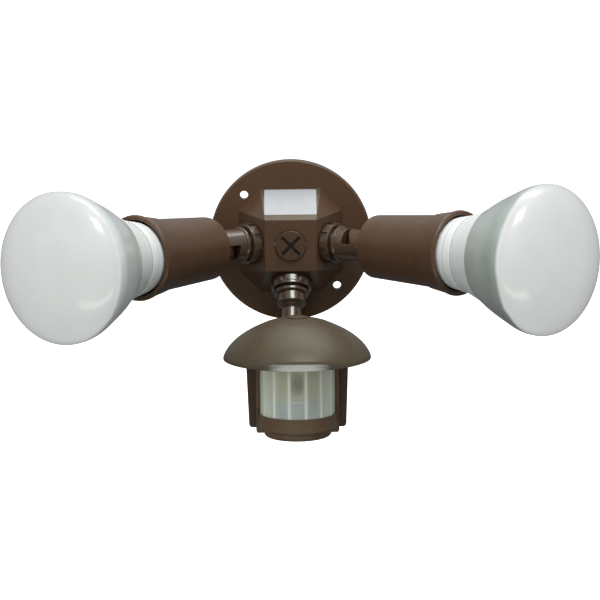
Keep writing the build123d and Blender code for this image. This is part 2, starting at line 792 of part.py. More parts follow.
for name, lamp in lamps.items():
    with BuildPart() as screw_shell:
        rings = int(base_l / base_pitch) - 1
        with BuildSketch(lamp.offset(lamp_foot - base_l)):
            Circle(base_core_r)
        extrude(amount=base_l)
        for ring in range(rings):
            low = lamp_foot - base_l + base_rings_start + ring * base_pitch
            with BuildSketch(profile_plane(lamp)):
                with BuildLine():
                    Polyline(
                        (base_bore_r, low),
                        (base_core_r, low),
                        (lamp_thread_r, low + base_pitch * 0.35),
                        (lamp_thread_r, low + base_pitch * 0.5),
                        (base_core_r, low + base_pitch * 0.85),
                        (base_bore_r, low + base_pitch * 0.85),
                        close=True,
                    )
                make_face()
            revolve(axis=axis_of(lamp))
        with BuildSketch(lamp.offset(lamp_foot - base_l)):
            Circle(base_bore_r)
        extrude(amount=base_l, mode=Mode.SUBTRACT)
    save(screw_shell.part, f"{name}_lamp_screw_shell")

    insulator = turned_piece(lamp, [
        (0, insulator_foot),
        (tip_r + insulator_lip, insulator_foot),
        (base_bore_r, lamp_foot - base_l),
        (base_bore_r, lamp_foot - base_l + insulator_in),
        (0, lamp_foot - base_l + insulator_in),
    ])
    save(insulator, f"{name}_lamp_insulator")

    tip = turned_piece(lamp, [
        (0, insulator_foot - tip_h),
        (tip_r - tip_bevel, insulator_foot - tip_h),
        (tip_r, insulator_foot),
        (0, insulator_foot),
    ])
    save(tip, f"{name}_lamp_tip")

    housing = turned_piece(lamp, [
        (0, lamp_foot),
        (collar_foot_r, lamp_foot),
        (collar_step_r, lamp_zero + collar_step_s),
        (collar_r, lamp_zero),
        (ridge_r, lamp_zero + ridge_s - ridge_t),
        (ridge_r, lamp_zero + ridge_s),
        (ridge_r - ridge_step, lamp_zero + ridge_s + ridge_step),
        (cup_r, cup),
        (cup_r - cup_wall, cup),
        (plate_rim, plate_at),
        (ridge_r - cup_wall, plate_at - 2 * cup_wall),
        (collar_r - cup_wall, lamp_zero),
        (collar_step_r - cup_wall, lamp_zero + collar_step_s + cup_wall),
        (collar_foot_r - cup_wall, lamp_foot + collar_floor),
        (0, lamp_foot + collar_floor),
    ])
    save(housing, f"{name}_ballast_housing")

    disc = turned_piece(lamp, [
        (0, plate_at),
        (plate_rim, plate_at),
        (plate_rim + tube_plate_t * (cup_r - ridge_r) / (cup_s - ridge_s), plate_at + tube_plate_t),
        (0, plate_at + tube_plate_t),
    ])
    with BuildPart() as tube_plate:
        add(disc)
        with BuildSketch(lamp.offset(board_low + board_t)):
            with PolarLocations(board_r - 2 * board_peg_r, 3):
                Circle(board_peg_r)
        extrude(amount=plate_at - board_low - board_t)
    save(tube_plate.part, f"{name}_tube_plate")

    with BuildPart() as bulb_glass:
        add(bulb_envelope(lamp, cup, 0))
        add(bulb_envelope(lamp, cup, glass_t), mode=Mode.SUBTRACT)
    save(bulb_glass.part, f"{name}_bulb_glass")

    with BuildPart() as ballast_board:
        with BuildSketch(lamp.offset(board_low)):
            Circle(board_r)
        extrude(amount=board_t)
        with BuildSketch(lamp.offset(board_low)):
            with Locations((capacitor_x, capacitor_y)):
                Circle(capacitor_r)
        extrude(amount=-capacitor_l)
        with BuildSketch(lamp.offset(board_low)):
            with Locations((choke_x, choke_y)):
                Rectangle(choke_w, choke_d)
        extrude(amount=-choke_h)
    save(ballast_board.part, f"{name}_ballast_board")

    # one folded tube: two coils that start opposite each other and meet on top
    coil_low = plate_at + tube_plate_t + coil_leg + tube_r
    with BuildLine() as coil:
        Helix(pitch=coil_pitch, height=coil_pitch * coil_turns, radius=coil_r)
    coil_foot = lamp.offset(coil_low)
    coils = []
    for way in (1, -1):
        start = Plane(origin=coil_foot.origin, x_dir=lamp.x_dir * way, z_dir=lamp.z_dir)
        coils.append(start.location * coil.line)
    with BuildPart() as spiral_tube:
        for path, way in zip(coils, (1, -1)):
            with BuildSketch(Plane(origin=path @ 0, z_dir=path % 0)):
                Circle(tube_r)
            sweep(path=path)
            with BuildSketch(coil_foot.offset(-coil_leg - tube_r)):
                with Locations((way * coil_r, 0)):
                    Circle(tube_r)
            extrude(amount=coil_leg + tube_r)
            with Locations(path @ 0, path @ 1):
                Sphere(tube_r + knee_swell)
        top_a = coils[0] @ 1
        top_b = coils[1] @ 1
        with BuildLine() as bridge:
            Spline(top_a, (top_a + top_b) / 2, top_b, tangents=(coils[0] % 1, -(coils[1] % 1)))
        with BuildSketch(Plane(origin=top_a, z_dir=bridge.line % 0)):
            Circle(tube_r)
        sweep(path=bridge.line)
    save(spiral_tube.part, f"{name}_spiral_tube")

# ---------------------------------------------------------------- sensor arm
stem_blank = turned_piece(sensor_port, [
    (0, -hub_depth),
    (thread_r - thread_bevel, -hub_depth),
    (thread_r, -hub_depth + thread_bevel),
    (thread_r, flange_start),
    (flange_r - flange_bevel, flange_start),
    (flange_r, flange_start + flange_bevel),
    (flange_r, flange_start + flange_t - flange_bevel),
    (flange_r - flange_bevel, flange_start + flange_t),
    (cup_outer_r, flange_start + flange_t),
    (cup_outer_r, cup_end - cup_round),
    (cup_outer_r - cup_round, cup_end),
    (0, cup_end),
])
with BuildPart() as sensor_stem:
    add(stem_blank)
    with Locations(sensor_port.origin + sensor_port.z_dir * ball_s):
        Sphere(ball_r + running, mode=Mode.SUBTRACT)
    with BuildSketch(sensor_port.offset(-hub_depth)):
        Circle(stem_bore_r)
    extrude(amount=hub_depth + ball_s, mode=Mode.SUBTRACT)
save(sensor_stem.part, "sensor_stem")

with BuildPart() as ball_neck:
    waist_s = sqrt(ball_r ** 2 - waist_r ** 2)
    with BuildSketch(profile_plane(sensor_port)):
        with BuildLine():
            low = ball_s - ball_r
            Polyline(
                (0, low),
                (0, ball_s + neck_end),
                (neck_r, ball_s + neck_end),
                (neck_r, ball_s + neck_start),
                (waist_r, ball_s + waist_s),
            )
            ThreePointArc((waist_r, ball_s + waist_s), (ball_r, ball_s), (0, low))
        make_face()
    revolve(axis=axis_of(sensor_port))
    with BuildSketch(sensor_port.offset(low)):
        Circle(neck_bore_r)
    extrude(amount=ball_r + neck_end, mode=Mode.SUBTRACT)
save(ball_neck.part, "sensor_ball_neck")

# ---------------------------------------------------------------- sensor case
floor = Plane(origin=(head_x, 0, 0))
upright = Plane(origin=(head_x, 0, 0), x_dir=(1, 0, 0), z_dir=(0, -1, 0))    # offset by -y
wing_face_y = front_back_y + seal_frame_t
plate_front_y = front_back_y - front_plate_t
step_low = band_top - band_h
foot_low = step_low - foot_h
cap_low = foot_low - cap_h
lens_low = band_top - lens_lap
lens_high = top_band + lens_lap
top_t = 2 * front_wall
hood_posts_at = [(-hood_post_x, head_axis_y), (hood_post_x, head_axis_y)]


def half_round(radius, back_y):
    """Plan outline about the origin: half a circle in front, straight sides behind."""
    with BuildSketch(Plane.XY) as outline:
        with Locations((0, head_axis_y)):
            Circle(radius)
        with Locations((0, head_axis_y)):
            Rectangle(2 * radius, 2 * radius, align=(Align.CENTER, Align.MIN))
        with Locations((0, back_y)):
            Rectangle(3 * radius, 3 * radius, align=(Align.CENTER, Align.MIN), mode=Mode.SUBTRACT)
    return outline.sketch


case_column_x = rear_w - rear_wall - case_column_r + case_column_in
case_column_low = rear_low + rear_wall + case_column_r - case_column_in
case_column_high = rear_top - rear_wall - case_column_r - case_column_drop
case_columns = [
    (x, z)
    for x in (-case_column_x, case_column_x)
    for z in (case_column_low, case_column_high)
]
case_screw_tip_y = plate_front_y + case_screw_stop
bands_back_y = plate_front_y + band_lap

with BuildPart() as foot:
    with BuildSketch(floor.offset(cap_low)):
        add(half_round(foot_r, bands_back_y))
    extrude(amount=foot_h + cap_h)
    rim = foot.faces().sort_by(Axis.Z)[0].edges().sort_by(Axis.Y)[:-1]
    fillet(rim, radius=cap_h - cap_side)

with BuildPart() as front_housing:
    with BuildSketch(upright.offset(-front_back_y)):
        with Locations((0, (head_top + front_plate_low) / 2)):
            Rectangle(2 * front_plate_w, head_top - front_plate_low)
        fillet(vertices(), radius=front_plate_corner)
    extrude(amount=front_plate_t)
    add(foot.part)
    with BuildSketch(floor.offset(step_low)):
        add(half_round(band_r, bands_back_y))
    extrude(amount=band_h)
    with BuildSketch(floor.offset(top_band)):
        add(half_round(band_r, bands_back_y))
    extrude(amount=head_top - top_band)
    with BuildSketch(floor.offset(step_low + front_wall)):
        add(half_round(lens_r + lens_fit, plate_front_y))
    extrude(amount=head_top - top_t - step_low - front_wall, mode=Mode.SUBTRACT)
    with BuildSketch(floor.offset(foot_low - cap_side)):
        add(half_round(foot_r - 2 * front_wall, plate_front_y))
    extrude(amount=cap_side + foot_h + front_wall, mode=Mode.SUBTRACT)
    with BuildSketch(upright.offset(-front_back_y)):
        with Locations((0, (lens_low + lens_high) / 2)):
            Rectangle(2 * optic_w, lens_high - lens_low - 2 * optic_edge)
    extrude(amount=front_plate_t, mode=Mode.SUBTRACT)
    with BuildSketch(floor.offset(head_top)):
        with Locations(*hood_posts_at):
            Circle(hood_screw_r)
    extrude(amount=-top_t, mode=Mode.SUBTRACT)
    with BuildSketch(upright.offset(-front_back_y)):
        with Locations(*case_columns):
            Circle(case_screw_r)
    extrude(amount=front_back_y - case_screw_tip_y, mode=Mode.SUBTRACT)
save(front_housing.part, "sensor_front_housing")

with BuildPart() as fresnel_lens:
    with BuildSketch(floor.offset(lens_low)):
        add(half_round(lens_r, plate_front_y))
    extrude(amount=lens_high - lens_low)
    with BuildSketch(floor.offset(lens_low)):
        add(half_round(lens_r - lens_t, plate_front_y + over))
    extrude(amount=lens_high - lens_low, mode=Mode.SUBTRACT)
save(fresnel_lens.part, "fresnel_lens")

seal_h = rear_top - rear_low - seal_drop
with BuildPart() as case_seal:
    with BuildSketch(upright.offset(-wing_face_y)):
        with Locations((0, rear_low + seal_h / 2)):
            Rectangle(2 * rear_w, seal_h)
            Rectangle(2 * (rear_w - rear_wall), seal_h - 2 * rear_wall, mode=Mode.SUBTRACT)
        with Locations(*case_columns):
            Circle(case_screw_r, mode=Mode.SUBTRACT)
    extrude(amount=seal_frame_t)
save(case_seal.part, "case_seal")

neck_foot = sensor_port.offset(ball_s + neck_boss_start)
pots_at = [(-pot_x, pot_y), (pot_x, pot_y)]
pcb_w = 2 * (rear_w - rear_wall - pcb_side_gap)
pcb_low = case_column_low + case_column_r + pcb_end_gap
pcb_top = case_column_high - case_column_r - pcb_end_gap
board_posts = [
    (x, z)
    for x in (-pcb_w / 2 + post_in, pcb_w / 2 - post_in)
    for z in (pcb_low + post_in, pcb_top - post_in)
]
board_back_y = pcb_y + pcb_t
inner_back_y = rear_back_y - rear_wall
with BuildPart() as rear_housing:
    with BuildSketch(floor.offset(rear_low)):
        with Locations((0, rear_back_y)):
            Rectangle(2 * rear_w, rear_back_y - wing_face_y, align=(Align.CENTER, Align.MAX))
    extrude(amount=rear_top - rear_low)
    fillet(rear_housing.faces().sort_by(Axis.Y)[-1].edges(), radius=rear_round)
    with BuildSketch(upright.offset(-wing_face_y)):
        with BuildLine():
            Polyline(
                (-wing_top_w, rear_top),
                (-wing_low_w, wing_low),
                (wing_low_w, wing_low),
                (wing_top_w, rear_top),
                close=True,
            )
        make_face()
        fillet(vertices().group_by(Axis.Z)[0], radius=wing_round)
    extrude(amount=-wing_t)
    with BuildSketch(upright.offset(-wing_face_y)):
        with Locations((0, (rear_top + rear_low) / 2)):
            Rectangle(2 * (rear_w - rear_wall), rear_top - rear_low - 2 * rear_wall)
    extrude(amount=wing_face_y - inner_back_y, mode=Mode.SUBTRACT)
    with BuildSketch(neck_foot):
        Circle(neck_boss_r)
    extrude(amount=neck_boss_end - neck_boss_start)
    with BuildSketch(upright.offset(-inner_back_y)):
        with Locations(*case_columns):
            Circle(case_column_r)
    extrude(amount=inner_back_y - wing_face_y)
    with BuildSketch(upright.offset(-inner_back_y)):
        with Locations(*board_posts):
            Circle(post_r)
    extrude(amount=inner_back_y - board_back_y)
    with BuildSketch(sensor_port.offset(ball_s + neck_hole_start)):
        Circle(neck_r)
    extrude(amount=neck_end - neck_hole_start, mode=Mode.SUBTRACT)
    with BuildSketch(neck_foot):
        Circle(neck_bore_r)
    extrude(amount=neck_boss_end - neck_boss_start + over, mode=Mode.SUBTRACT)
    with BuildSketch(upright.offset(-rear_back_y)):
        with Locations(*case_columns):
            Circle(case_screw_r)
    extrude(amount=rear_back_y - wing_face_y, mode=Mode.SUBTRACT)
    with BuildSketch(upright.offset(-rear_back_y)):
        with Locations(*case_columns):
            Circle(case_head_r + case_head_gap)
    extrude(amount=case_head_t, mode=Mode.SUBTRACT)
    with BuildSketch(upright.offset(-board_back_y)):
        with Locations(*board_posts):
            Circle(board_screw_r)
    extrude(amount=-board_screw_grip - screw_tip_room, mode=Mode.SUBTRACT)
    with BuildSketch(floor.offset(rear_low)):
        with Locations(*pots_at):
            Circle(dial_shaft_r + dial_bore)
    extrude(amount=rear_wall, mode=Mode.SUBTRACT)
save(rear_housing.part, "sensor_rear_housing")

with BuildPart() as case_screws:
    with BuildSketch(upright.offset(-rear_back_y + case_head_t)):
        with Locations(*case_columns):
            Circle(case_screw_r)
    extrude(amount=rear_back_y - case_head_t - case_screw_tip_y)
    with BuildSketch(upright.offset(-rear_back_y + case_head_t)):
        with Locations(*case_columns):
            Circle(case_head_r)
    extrude(amount=-case_head_t + case_head_gap)
    with BuildSketch(upright.offset(-rear_back_y + case_head_gap)):
        with Locations(*case_columns):
            Rectangle(case_slot_l, case_slot_w)
            Rectangle(case_slot_w, case_slot_l)
    extrude(amount=case_slot_depth, mode=Mode.SUBTRACT)
save(case_screws.part, "case_screws")

# ---------------------------------------------------------------- hood
def dome(radius, height):
    """Solid dome: (r / radius) ** n + (z / height) ** n = 1, with n = hood_shape."""
    centre = (head_x, hood_y, hood_z)
    points = []
    for step in range(dome_steps + 1):
        turn = radians(90 * step / dome_steps)
        share = 2 / hood_shape
        points.append((radius * cos(turn) ** share, height * sin(turn) ** share))
    points[-1] = (0, height)
    with BuildPart() as solid:
        with BuildSketch(Plane(origin=centre, x_dir=(1, 0, 0), z_dir=(0, -1, 0))):
            with BuildLine():
                Spline(*points, tangents=((0, 1), (-1, 0)))
                Polyline((0, height), (0, 0), (radius, 0))
            make_face()
        revolve(axis=Axis(centre, (0, 0, 1)))
    return solid.part


dome_outer = dome(hood_r, hood_h)
dome_inner = dome(hood_r - hood_wall, hood_h - hood_wall)
with BuildPart() as dome_room:
    add(dome_inner)
    with BuildSketch(floor.offset(hood_z)):
        with Locations((0, hood_cut_y - hood_wall)):
            Rectangle(3 * hood_r, 2 * hood_r, align=(Align.CENTER, Align.MIN))
    extrude(amount=2 * hood_h, mode=Mode.SUBTRACT)
    with BuildSketch(floor.offset(head_top)):
        with Locations((0, head_axis_y)):
            Circle(hood_collar_r)
            Circle(hood_collar_r - hood_collar_t, mode=Mode.SUBTRACT)
        with Locations(*hood_posts_at):
            Circle(hood_post_r)
    extrude(amount=2 * hood_h, mode=Mode.SUBTRACT)

with BuildPart() as hood:
    add(dome_outer)
    add(dome_room.part, mode=Mode.SUBTRACT)
    with BuildSketch(floor.offset(hood_z)):
        with Locations((0, hood_cut_y)):
            Rectangle(3 * hood_r, 2 * hood_r, align=(Align.CENTER, Align.MIN))
    extrude(amount=2 * hood_h, mode=Mode.SUBTRACT)
    with BuildSketch(floor.offset(hood_z)):
        with Locations((0, wing_face_y - seat_gap)):
            Rectangle(2 * (wing_top_w + seat_gap), 2 * hood_r, align=(Align.CENTER, Align.MIN))
    extrude(amount=rear_top + hood_rest_gap - hood_z, mode=Mode.SUBTRACT)
    with BuildSketch(floor.offset(head_top)):
        with Locations(*hood_posts_at):
            Circle(hood_screw_r)
    extrude(amount=hood_screw_grip, mode=Mode.SUBTRACT)
save(hood.part, "sensor_hood")

with BuildPart() as hood_screws:
    with BuildSketch(floor.offset(head_top - top_t)):
        with Locations(*hood_posts_at):
            Circle(hood_screw_head_r)
    extrude(amount=-hood_screw_head_t)
    with BuildSketch(floor.offset(head_top - top_t)):
        with Locations(*hood_posts_at):
            Circle(hood_screw_r)
    extrude(amount=top_t + hood_screw_grip - screw_tip_room)
save(hood_screws.part, "hood_screws")

# ---------------------------------------------------------------- electronics
with BuildPart() as sensor_board:
    with BuildSketch(upright.offset(-board_back_y)):
        with Locations((0, (pcb_low + pcb_top) / 2)):
            Rectangle(pcb_w, pcb_top - pcb_low)
        with Locations(*board_posts):
            Circle(board_screw_r + board_hole_gap, mode=Mode.SUBTRACT)
    extrude(amount=pcb_t)
save(sensor_board.part, "sensor_board")

with BuildPart() as board_screws:
    with BuildSketch(upright.offset(-pcb_y)):
        with Locations(*board_posts):
            Circle(board_head_r)
    extrude(amount=board_head_t)
    with BuildSketch(upright.offset(-pcb_y)):
        with Locations(*board_posts):
            Circle(board_screw_r)
    extrude(amount=-pcb_t - board_screw_grip)
save(board_screws.part, "board_screws")

with BuildPart() as pyro_detector:
    with BuildSketch(upright.offset(-pcb_y)):
        with Locations((0, detector_z)):
            with PolarLocations(detector_legs_r, 3):
                Circle(leg_r)
    extrude(amount=detector_leg)
    with BuildSketch(upright.offset(-pcb_y + detector_leg)):
        with Locations((0, detector_z)):
            Circle(detector_r)
    extrude(amount=detector_flange_t)
    with BuildSketch(upright.offset(-pcb_y + detector_leg)):
        with Locations((0, detector_z)):
            Circle(detector_r - detector_can_in)
    extrude(amount=detector_h)
    with BuildSketch(upright.offset(-pcb_y + detector_leg + detector_h)):
        with Locations((0, detector_z)):
            Rectangle(detector_window_w, detector_window_h)
    extrude(amount=-detector_window_pit, mode=Mode.SUBTRACT)
save(pyro_detector.part, "pyro_detector")

with BuildPart() as photocell:
    with BuildSketch(upright.offset(-pcb_y)):
        with Locations((0, cell_z)):
            with PolarLocations(cell_legs_r, 2):
                Circle(leg_r)
    extrude(amount=cell_leg)
    with BuildSketch(upright.offset(-pcb_y + cell_leg)):
        with Locations((0, cell_z)):
            Circle(cell_r)
    extrude(amount=cell_h)
save(photocell.part, "photocell")

with BuildPart() as relay:
    with BuildSketch(upright.offset(-board_back_y)):
        with Locations((relay_x, relay_z)):
            Rectangle(relay_w, relay_h)
    extrude(amount=-relay_d)
    top_edges = relay.faces().sort_by(Axis.Y)[-1].edges()
    fillet(top_edges, radius=relay_round)
save(relay.part, "switching_relay")

pot_floor = rear_low + rear_wall
shaft_top = pot_floor + pot_h - dial_shaft_stop
with BuildPart() as pots:
    with BuildSketch(floor.offset(pot_floor)):
        with Locations(*pots_at):
            Rectangle(pot_w, pot_w)
            Circle(dial_shaft_r + running, mode=Mode.SUBTRACT)
    extrude(amount=pot_h)
save(pots.part, "potentiometers")

for name, place in zip(("time_dial", "range_dial"), pots_at):
    with BuildPart() as dial:
        with BuildSketch(floor.offset(rear_low - seat_gap)):
            with Locations(place):
                Circle(dial_r)
                with PolarLocations(dial_r, dial_grips):
                    Circle(dial_grip_r, mode=Mode.SUBTRACT)
        extrude(amount=-dial_h)
        with BuildSketch(floor.offset(rear_low - seat_gap)):
            with Locations(place):
                Circle(dial_shaft_r)
        extrude(amount=shaft_top - rear_low + seat_gap)
        with BuildSketch(floor.offset(rear_low - seat_gap - dial_h)):
            with Locations(place):
                Rectangle(2 * (dial_r - dial_slot_in), dial_slot_w)
        extrude(amount=dial_slot_depth, mode=Mode.SUBTRACT)
    save(dial.part, name)
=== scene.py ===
# %% [markdown]
# # A twin lamp security light with a motion sensor
#
# The CAD parts of the light come in as a fixed frame of named pieces, in metres,
# with the wall behind them and the viewer on the -Y side. This lesson gives every
# piece its finish, makes the lens film, the one piece that is finer than a CAD solid,
# and sets up a plain studio round the light. Nothing on it carries a word or a mark.

# %% Load the frame
import json

import bpy
import numpy as np
from mathutils import Matrix, Vector


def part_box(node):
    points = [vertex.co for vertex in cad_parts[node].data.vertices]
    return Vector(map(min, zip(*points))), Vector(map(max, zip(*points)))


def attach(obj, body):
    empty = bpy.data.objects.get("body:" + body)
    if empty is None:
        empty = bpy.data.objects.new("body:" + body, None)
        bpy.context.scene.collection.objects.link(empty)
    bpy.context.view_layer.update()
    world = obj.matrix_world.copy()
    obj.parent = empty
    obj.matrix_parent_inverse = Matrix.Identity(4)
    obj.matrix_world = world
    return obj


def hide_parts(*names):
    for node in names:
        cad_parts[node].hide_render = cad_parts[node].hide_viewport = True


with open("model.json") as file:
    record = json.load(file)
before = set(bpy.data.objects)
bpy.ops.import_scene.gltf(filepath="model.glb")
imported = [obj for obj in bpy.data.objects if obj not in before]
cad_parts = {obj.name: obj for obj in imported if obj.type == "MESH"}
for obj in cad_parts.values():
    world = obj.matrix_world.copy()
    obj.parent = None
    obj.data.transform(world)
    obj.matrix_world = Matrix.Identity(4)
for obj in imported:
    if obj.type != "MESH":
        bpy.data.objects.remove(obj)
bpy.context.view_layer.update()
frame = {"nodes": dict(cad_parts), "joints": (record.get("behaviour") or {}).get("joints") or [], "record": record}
nodes = frame["nodes"]
millimetre = 0.001
print("pieces of the frame:", len(nodes))

# %% [markdown]
# ## Where the lamps point
#
# Many looks of a lamp follow its own axis: the frosted face, the silvered back
# and the rings of its collar. The axis could be typed in again, but the joints of
# the frame already hold it. The knuckle gives a point on the axis and the slide
# that stands for unscrewing gives its direction, so the looks follow the CAD if
# the lamps are aimed another way.

# %% Lamp axes from the joints
joints = {joint["name"]: joint for joint in frame["joints"]}
sides = ("left", "right")


def lamp_axis(side):
    """A point on the lamp's axis, at the knuckle, and the unit vector along it."""
    point = np.array(joints[side + "_knuckle"]["pos_m"], float)
    along = np.array(joints[side + "_lamp_unscrew"]["axis"], float)
    return point, along / np.linalg.norm(along)


for side in sides:
    point, along = lamp_axis(side)
    print(side, "lamp axis from", point.round(4), "along", along.round(3))

# %% [markdown]
# ## Building blocks for the finishes
#
# A finish is a small graph of shader nodes. Laying each one by hand in the editor
# would hide the sizes in it, so a helper makes one node from its settings and
# from what feeds its sockets. Patterns read Object coordinates, which are metres
# in the frame here, so a noise of scale 1000 has grains of one millimetre.

# %% Node helpers
def lay(tree, kind, feeds=None, **settings):
    """One shader node: settings by name, sockets fed by numbers or by other sockets."""
    made = tree.nodes.new(kind)
    for key, value in settings.items():
        setattr(made, key, value)
    for key, value in (feeds or {}).items():
        if isinstance(value, bpy.types.NodeSocket):
            tree.links.new(value, made.inputs[key])
        else:
            made.inputs[key].default_value = value
    return made


def start_finish(name):
    """A new material with only its Principled shader and output: (material, tree, shader)."""
    material = bpy.data.materials.new(name)
    material.use_nodes = True
    tree = material.node_tree
    tree.nodes.clear()
    shader = lay(tree, "ShaderNodeBsdfPrincipled")
    lay(tree, "ShaderNodeOutputMaterial", {"Surface": shader.outputs["BSDF"]})
    return material, tree, shader


def place(tree):
    """The point being shaded, in Object coordinates."""
    return lay(tree, "ShaderNodeTexCoord").outputs["Object"]


def grain(tree, size_mm, detail=3.0, rough=0.5, stretch=(1, 1, 1)):
    """Noise from 0 to 1 whose grains are about size_mm, longer along a small stretch."""
    mapping = lay(tree, "ShaderNodeMapping", {"Vector": place(tree), "Scale": stretch})
    noise = lay(tree, "ShaderNodeTexNoise", {
        "Vector": mapping.outputs["Vector"],
        "Scale": 1 / (size_mm * millimetre),
        "Detail": detail,
        "Roughness": rough,
    })
    return noise.outputs[0]


def remap(tree, value, low, high, to_low=0.0, to_high=1.0):
    """Straight line from (low, high) to (to_low, to_high), held at both ends."""
    ranged = lay(tree, "ShaderNodeMapRange", {
        "Value": value, "From Min": low, "From Max": high, "To Min": to_low, "To Max": to_high,
    })
    return ranged.outputs["Result"]


def cloud_of(tree, size_mm, to_low=0.0, to_high=1.0, **settings):
    """Noise spread from to_low to to_high: nearly all of its values lie from 0.3 to 0.7."""
    return remap(tree, grain(tree, size_mm, **settings), 0.3, 0.7, to_low, to_high)


def reckon(tree, operation, first, second=0.0):
    """One sum, product or other operation on two numbers."""
    made = tree.nodes.new("ShaderNodeMath")
    made.operation = operation
    for index, value in enumerate((first, second)):
        if isinstance(value, bpy.types.NodeSocket):
            tree.links.new(value, made.inputs[index])
        else:
            made.inputs[index].default_value = value
    return made.outputs[0]


def mix_colours(tree, share, first, second):
    """first where share is 0 and second where it is 1. A Mix node keeps one set of
    sockets for each kind of value, and its colours are sockets 6 and 7."""
    made = lay(tree, "ShaderNodeMix", data_type="RGBA")
    for index, value in ((0, share), (6, first), (7, second)):
        if isinstance(value, bpy.types.NodeSocket):
            tree.links.new(value, made.inputs[index])
        elif index == 0:
            made.inputs[index].default_value = value
        else:
            made.inputs[index].default_value = (*value, 1.0)
    return made.outputs[2]


def raise_grain(tree, height, depth_mm, strength=1.0, below=None):
    """Bumps of depth_mm from a height between 0 and 1, on top of the normal below."""
    feeds = {"Height": height, "Distance": depth_mm * millimetre, "Strength": strength}
    if below is not None:
        feeds["Normal"] = below
    return lay(tree, "ShaderNodeBump", feeds).outputs["Normal"]


def feed(tree, shader, **feeds):
    """Feeds the shader's sockets. An underscore in a name stands for a space."""
    for key, value in feeds.items():
        socket = shader.inputs[key.replace("_", " ")]
        if isinstance(value, bpy.types.NodeSocket):
            tree.links.new(value, socket)
        elif socket.type == "RGBA":
            socket.default_value = (*value, 1.0)
        else:
            socket.default_value = value


finishes = {}

# %% [markdown]
# ## Satin bronze enamel and bronze plastic
#
# The plate, the stems, the locknuts and the lampholders are aluminium castings
# under a satin bronze-brown enamel. The sensor's case and hood are a plastic in
# the same brown. One flat colour would look like clay, so the paint gets what
# real enamel has: a slight orange peel, a speckle of pigment, edges where the
# coat is thin and catches the light, and a trace of dust on upward faces. A
# Bevel node rounds the sharp CAD edges by half a millimetre in the shading only.

# %% Shares for edges, tops and recesses
def edge_share(tree, radius_mm):
    """The rounded normal near edges, and how far it leans from the face's own: 0 to 1."""
    bevel = lay(tree, "ShaderNodeBevel", {"Radius": radius_mm * millimetre}, samples=4)
    face = lay(tree, "ShaderNodeNewGeometry")
    dot = lay(tree, "ShaderNodeVectorMath", {
        0: bevel.outputs["Normal"], 1: face.outputs["Normal"]}, operation="DOT_PRODUCT")
    on_face, on_edge = 0.995, 0.80
    return bevel.outputs["Normal"], remap(tree, dot.outputs["Value"], on_face, on_edge)


def upward_share(tree):
    """0 on walls and undersides, 1 on level tops."""
    face = lay(tree, "ShaderNodeNewGeometry")
    parts = lay(tree, "ShaderNodeSeparateXYZ", {"Vector": face.outputs["Normal"]})
    barely, level = 0.2, 1.0
    return remap(tree, parts.outputs["Z"], barely, level)


def recess_shade_mask(tree, reach_mm):
    """1 deep in slots and corners, 0 on open surfaces: where shade is painted into the colour."""
    openness = lay(tree, "ShaderNodeAmbientOcclusion", {
        "Distance": reach_mm * millimetre}, samples=6)
    nearly_open, shut_in = 0.80, 0.30
    return remap(tree, openness.outputs["AO"], nearly_open, shut_in)


# %% [markdown]
# Two pieces need more than the common coat. The hood ends in an upright band at
# the front, which mirrors the white table as a silvery streak, and the solid runs
# down to its rim in one curve, so the band is made by turning the normal. The
# slots of the closure plug are deep and in shade, while light from ahead would fill
# them, so shade is painted into them, darker with their depth.

# %% Shares for the hood's band and the plug's slots
def upright_band(tree, low, band_mm, fade_mm, lean, below):
    """The normal of a nearly upright band above a lower edge at height low, which
    fades into the normal below it above the band and round both sides, and the
    share of the band: 0 to 1. lean is the part of its normal that points down."""
    parts = lay(tree, "ShaderNodeSeparateXYZ", {"Vector": place(tree)})
    top = low + band_mm * millimetre
    share = remap(tree, parts.outputs["Z"], top, top + fade_mm * millimetre, 1.0, 0.0)
    split = lay(tree, "ShaderNodeSeparateXYZ", {"Vector": below})
    half_turned, facing_front = -0.68, -0.86
    ahead = remap(tree, split.outputs["Y"], half_turned, facing_front)
    share = reckon(tree, "MULTIPLY", share, ahead)
    kept = reckon(tree, "MULTIPLY", split.outputs["Z"], reckon(tree, "SUBTRACT", 1.0, share))
    dipped = reckon(tree, "SUBTRACT", kept, reckon(tree, "MULTIPLY", share, lean))
    joined = lay(tree, "ShaderNodeCombineXYZ", {
        "X": split.outputs["X"], "Y": split.outputs["Y"], "Z": dipped})
    unit = lay(tree, "ShaderNodeVectorMath", {0: joined.outputs["Vector"]}, operation="NORMALIZE")
    return unit.outputs["Vector"], share


def sunk_share(tree, front_mm, floor_mm):
    """0 on faces in front of front_mm and 1 behind floor_mm, along Y: where shade is painted into slots."""
    parts = lay(tree, "ShaderNodeSeparateXYZ", {"Vector": place(tree)})
    return remap(tree, parts.outputs["Y"], front_mm * millimetre, floor_mm * millimetre)


# %% [markdown]
# The coat itself is one recipe for enamel and plastic. Its layers are pigment, then wear,
# then dust, as on the real coat, and last painted shade in the recesses. The
# light of the white tent comes back faintly green in the photograph, so the gloss
# has that tint.

# %% Bronze coats
# painted shade: the dark brown that slots and corners are painted with, where shade falls in them
painted_shade_brown = (0.012, 0.005, 0.003)
worn_brown = (0.17, 0.135, 0.095)       # where the coat is thin over an edge
dust_colour = (0.30, 0.29, 0.23)
tent_tint = (0.84, 1.0, 0.86)
edge_rounding_mm = 0.5
speckle_mm = 0.35
pigment_cloud_mm = 28.0
wear_mm = 2.5
dust_mm = 6.0
gloss_cloud_mm = 9.0
recess_reach_mm = 2.2
peel_depth_mm = 0.012
speckle_share = 0.35        # the most that a speckle mixes in of the lighter pigment
pigment_share = 0.25        # and that a cloud mixes in
least_worn, most_worn = 0.10, 0.45      # shares of the worn brown along an edge
recess_shade = 0.85         # share of the recess brown in the deepest slots
dust_dulls = 0.4            # roughness that a full layer of dust adds


